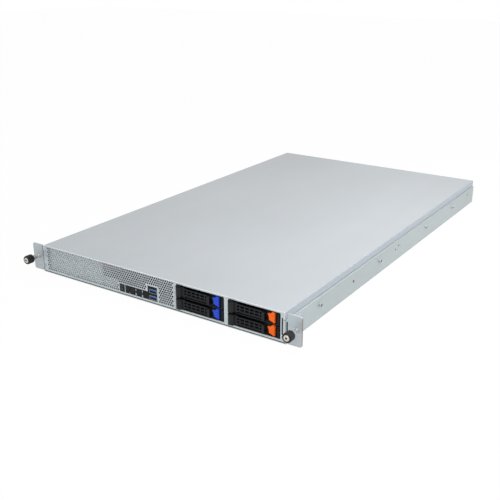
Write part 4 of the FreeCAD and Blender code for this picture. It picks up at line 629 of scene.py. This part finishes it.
def make_bay_fingers():
    """Spring fingers of the gasket along the top of the bay openings."""
    bm = bmesh.new()
    height = (BAY_TOP - FINGER_BELOW, BAY_TOP + FINGER_ABOVE)
    for middle in bay_middles():
        for k in range(FINGERS):
            x = middle - BAY_HALF + FINGER_INSET + FINGER_PITCH * k
            grow_block(bm, (x, x + FINGER_WIDTH), FINGER_DEPTH, height)
    add_piece(bm, "bay_fingers", "inner_sheet", "chassis")


for number in (1, 2, 3, 4):
    make_tray_front(number)
make_bay_fingers()


# ---- side walls -----------------------------------------------------------------------------

WALL = span("chassis_tray")[1].x
STUDS = (84.0, 276.0, 468.0, 604.0)
# Distance out of the wall, and radius.
STUD_RING = [(0.0, 3.5), (0.5, 3.5), (0.7, 2.5), (2.2, 2.5), (2.4, 3.1), (3.1, 3.1), (3.4, 2.9), (3.4, 2.5),
             (2.7, 2.3), (2.5, 1.6), (0.0, 1.6)]
STUD_CORE = [(0.4, 1.7), (2.45, 1.7), (2.65, 2.35), (3.2, 2.45)]
# Distance behind the rack face, height, and radius.
LOCK_HOLES = ((187.0, 18.3, 1.6), (339.0, 19.3, 1.2), (350.0, 23.3, 1.2), (692.0, 23.3, 1.2))
# Distance out of the wall, behind the rack face, and height of the black strips beside the ears, painted
# shade in the gaps there.
GAP_SHADE_OUT, GAP_SHADE_DEPTH, GAP_SHADE_HEIGHT = (0.05, 1.75), (0.2, 1.4), (1.2, 31.5)


def out_of_wall(profile, sign):
    """A profile placed on the right wall (1) or the left one (-1)."""
    return [(sign * (WALL + run), radius) for run, radius in profile]


def make_side_details():
    """Rail studs with their recessed centres, whose dark bluish cores are partly painted shade; black discs
    behind the small holes as painted shade; and black strips painted as shade in the gaps between the case
    and its ears."""
    low, high = span("rail_studs")
    height = (low.z + high.z) / 2
    studs, cores, hole_shades, gap_shades = bmesh.new(), bmesh.new(), bmesh.new(), bmesh.new()
    for sign in (1, -1):
        for y in STUDS:
            place = (0, y, height)
            grow_turned(studs, out_of_wall(STUD_RING, sign), place, along="X", sides=40, hollow=True)
            grow_turned(cores, out_of_wall(STUD_CORE, sign), place, along="X", sides=24)
        for y, z, radius in LOCK_HOLES:
            # Black disc just behind each hole, painted shade of the hole.
            hole_shade = [(-1.1, radius - 0.02), (0.0, radius - 0.02), (0.0, radius + 0.3), (0.08, radius + 0.25)]
            grow_turned(hole_shades, out_of_wall(hole_shade, sign), (0, y, z), along="X", sides=24)
        grow_block(gap_shades, sorted(sign * (WALL + run) for run in GAP_SHADE_OUT), GAP_SHADE_DEPTH, GAP_SHADE_HEIGHT)
    add_piece(studs, "stud_rings", "bright_steel", "chassis", ["rail_studs"])
    # Cores fill the studs' holes with a blue zinc tone darkened as painted shade.
    add_piece(cores, "stud_cores", "bright_steel", "chassis", finish_name="stud_core_painted_shade")
    add_piece(hole_shades, "hole_shade_discs", "black_plastic", "chassis", finish_name="hole_painted_shade")
    add_piece(gap_shades, "ear_gap_shades", "black_plastic", "chassis")


make_side_details()


# ---- inside and rear ------------------------------------------------------------------------

REAR = span("rear_panel")[1].y
MODULE_PITCH, MODULE_THICK = 9.0, 1.3
CHIPS_EACH, CHIP_PITCH, CHIP_LENGTH, CHIP_INSET = 9, 13.4, 10.2, 8
# From the middle of a module outwards, and from its top downwards.
CHIP_OUT, CHIP_DOWN = (0.6, 1.5), (20, 8)
# Share of the board's width, distance from its rear edge, side and height of a square chip.
BOARD_CHIPS = ((0.3, 95, 22, 2.2), (0.62, 110, 30, 2.6), (0.8, 60, 16, 1.6), (0.12, 90, 14, 1.4))
# Distances from the board's rear edge, and heights over its face.
COILS, COIL_INSET, COIL_HALF, COIL_PLACE, COIL_TALL = 8, 12, 4, (150, 141), 5.5
CAN_RADIUS, CAN_EDGE, CAN_PLACE, CAN_TALL = 3.1, 2.7, 128, 8
CARD_SOCKETS, SOCKET_WIDTH, SOCKET_PLACE, SOCKET_TALL = 4, 6, (78, 40), 9
FIRST_SOCKET_SHARE, SOCKET_SHARE = 0.35, 0.09
# Across from the middle of a supply, and heights; the grip and the screws with their radii.
INLET, SURROUND = ((-31.2, -8.4), (7.4, 22.4)), ((-34.4, -5.2), (4.4, 25.4))
TRIM_GAUGE, GRIP_HEIGHT, GRIP_INSET = 0.9, 34.5, 3.4
GRIP = [(-31, 2.9), (-30.4, 3.3), (25.4, 3.3), (26, 2.9)]
SUPPLY_SCREWS = ((-34.4, 38.4), (29.5, 4.6), (2.0, 38.4))
SCREW_HEAD = [(-0.1, 1.6), (0.5, 1.6), (0.9, 1.1), (0.5, 0.7), (-0.1, 0.7)]


def make_memory_chips():
    """Memory chips in rows on both faces of the modules."""
    low, high = span("memory_modules")
    chips = bmesh.new()
    count = round((high.x - low.x - MODULE_THICK) / MODULE_PITCH) + 1
    for index in range(count):
        middle = low.x + MODULE_THICK / 2 + MODULE_PITCH * index
        for chip in range(CHIPS_EACH):
            y = low.y + CHIP_INSET + CHIP_PITCH * chip
            for sign in (1, -1):
                x = sorted(middle + sign * run for run in CHIP_OUT)
                grow_block(chips, x, (y, y + CHIP_LENGTH), [high.z - drop for drop in CHIP_DOWN])
    add_piece(chips, "memory_chips", "socket_plastic", "chassis", soften=0.2)


def make_board_parts():
    """Chips, coils, capacitors and card sockets on the motherboard."""
    low, high = span("motherboard")
    top, wide, rear = high.z, high.x - low.x, high.y
    black, metal, pale = bmesh.new(), bmesh.new(), bmesh.new()
    can = [(top, CAN_RADIUS), (top + 0.9 * CAN_TALL, CAN_RADIUS), (top + CAN_TALL, CAN_EDGE)]
    coil = [rear - inset for inset in COIL_PLACE]
    socket = [rear - inset for inset in SOCKET_PLACE]
    for k in range(COILS):
        x = low.x + COIL_INSET + (wide - 2 * COIL_INSET) * k / (COILS - 1)
        grow_block(black, (x - COIL_HALF, x + COIL_HALF), coil, (top, top + COIL_TALL))
        grow_turned(metal, can, (x, rear - CAN_PLACE, 0), along="Z", sides=20)
    for share, inset, size, tall in BOARD_CHIPS:
        x, y = low.x + wide * share, rear - inset
        grow_block(black, (x - size / 2, x + size / 2), (y - size / 2, y + size / 2), (top, top + tall))
    for k in range(CARD_SOCKETS):
        x = low.x + wide * (FIRST_SOCKET_SHARE + SOCKET_SHARE * k)
        grow_block(pale, (x, x + SOCKET_WIDTH), socket, (top, top + SOCKET_TALL))
    add_piece(black, "board_chips", "socket_plastic", "chassis", soften=0.4)
    add_piece(metal, "board_capacitors", "fin_metal", "chassis")
    add_piece(pale, "board_sockets", "cable", "chassis", soften=0.4)


def make_supply_trim(number):
    """Inlet surround, grip and screws on the rear of a power supply."""
    low, high = span(f"power_supply_{number}")
    middle = (low.x + high.x) / 2
    body = f"supply_{number}"
    trim, screws = bmesh.new(), bmesh.new()
    inlet = rounded([middle + run for run in INLET[0]], INLET[1], 1.6)
    surround = rounded([middle + run for run in SURROUND[0]], SURROUND[1], 1.2)
    grow_plate(trim, surround, [inlet], REAR, REAR + TRIM_GAUGE)
    grow_turned(trim, GRIP, (middle, high.y - GRIP_INSET, GRIP_HEIGHT), along="X", sides=28)
    add_piece(trim, f"supply_trim_{number}", "black_plastic", body, soften=0.2)
    for across, z in SUPPLY_SCREWS:
        grow_turned(screws, SCREW_HEAD, (middle + across, REAR, z), sides=24, hollow=True)
    add_piece(screws, f"supply_screws_{number}", "bright_steel", body)


make_memory_chips()
make_board_parts()
for number in (1, 2):
    make_supply_trim(number)


# ---- studio -------------------------------------------------------------------------------

# Sizes and places of the studio are in metres.
WHITE = (1, 1, 1, 1)
ROOM_COLOUR, ROOM_STRENGTH = (0.93, 0.97, 1.0, 1), 0.56
FLOOR_COLOUR, FLOOR_ROUGH, FLOOR_WHITE = (0.96, 0.96, 0.96, 1), 0.9, 0.97
FLOOR_REACH, FLOOR_DROP = 6.0, 0.0005
# Name, place, aim, size and watts of each lamp.
LAMPS = (("key", (0.9, -1.3, 1.9), (0, 0.25, 0), (1.6, 1.2), 13),
         ("fill", (1.5, 0.5, 1.1), (0.1, 0.3, 0), (1.2, 1.0), 11),
         ("overhead", (0.2, 0.3, 0.45), (0.2, 0.3, 0), (0.25, 1.0), 1.5))
CAMERA_PLACE = (0.6422, -0.7233, 0.4449)
CAMERA_TURN, CAMERA_TILT = math.radians(33.53), math.radians(20.85)
LENS, SENSOR = 53.69, 36.0


def white_where_seen(tree, lit, white, surface, share=1.0):
    """White to the camera and in reflections, and lit as usual to everything else."""
    path = tree.nodes.new("ShaderNodeLightPath").outputs
    seen = reckon(tree, "MAXIMUM", path["Is Camera Ray"], path["Is Glossy Ray"])
    seen = reckon(tree, "MAXIMUM", seen, path["Is Transmission Ray"])
    choice = tree.nodes.new("ShaderNodeMixShader")
    tree.links.new(reckon(tree, "MULTIPLY", seen, share), choice.inputs[0])
    tree.links.new(lit, choice.inputs[1])
    tree.links.new(white, choice.inputs[2])
    tree.links.new(choice.outputs[0], surface)


def make_world():
    """Even room light behind a white backdrop."""
    world = bpy.data.worlds.new("studio")
    bpy.context.scene.world = world
    world.use_nodes = True
    tree = world.node_tree
    room = tree.nodes["Background"]
    room.inputs["Color"].default_value = ROOM_COLOUR
    room.inputs["Strength"].default_value = ROOM_STRENGTH
    white = tree.nodes.new("ShaderNodeBackground")
    white.inputs["Color"].default_value = WHITE
    white_where_seen(tree, room.outputs[0], white.outputs[0], tree.nodes["World Output"].inputs["Surface"])


def make_floor():
    """White floor that keeps a soft shadow of the case."""
    mesh = bpy.data.meshes.new("floor")
    corners = [(x * FLOOR_REACH, y * FLOOR_REACH, 0) for x, y in ((-1, -1), (1, -1), (1, 1), (-1, 1))]
    mesh.from_pydata(corners, [], [(0, 1, 2, 3)])
    floor = bpy.data.objects.new("floor", mesh)
    floor.location.z = -FLOOR_DROP
    bpy.context.scene.collection.objects.link(floor)
    made = bpy.data.materials.new("pale_floor")
    made.use_nodes = True
    tree = made.node_tree
    shader = tree.nodes["Principled BSDF"]
    shader.inputs["Base Color"].default_value = FLOOR_COLOUR
    shader.inputs["Roughness"].default_value = FLOOR_ROUGH
    glow = tree.nodes.new("ShaderNodeEmission")
    glow.inputs["Color"].default_value = WHITE
    surface = tree.nodes["Material Output"].inputs["Surface"]
    white_where_seen(tree, shader.outputs[0], glow.outputs[0], surface, FLOOR_WHITE)
    mesh.materials.append(made)


def make_lamp(name, place, aim, size, power):
    """Oblong lamp that shines from its place towards the aim."""
    data = bpy.data.lights.new(name, "AREA")
    data.shape = "RECTANGLE"
    data.size, data.size_y = size
    data.energy = power
    lamp = bpy.data.objects.new(name, data)
    lamp.location = place
    lamp.rotation_euler = (Vector(aim) - Vector(place)).to_track_quat("-Z", "Y").to_euler()
    bpy.context.scene.collection.objects.link(lamp)


def make_camera():
    """Camera to the front right of the case, a little above it."""
    camera = bpy.data.objects.new("camera", bpy.data.cameras.new("camera"))
    camera.data.lens, camera.data.sensor_width = LENS, SENSOR
    camera.data.clip_start = 0.01
    camera.location = CAMERA_PLACE
    back = Vector((math.sin(CAMERA_TURN) * math.cos(CAMERA_TILT),
                   -math.cos(CAMERA_TURN) * math.cos(CAMERA_TILT), math.sin(CAMERA_TILT)))
    camera.rotation_euler = back.to_track_quat("Z", "Y").to_euler()
    bpy.context.scene.collection.objects.link(camera)
    bpy.context.scene.camera = camera


make_world()
make_floor()
for lamp in LAMPS:
    make_lamp(*lamp)
make_camera()
bpy.context.scene.view_settings.view_transform = "Standard"
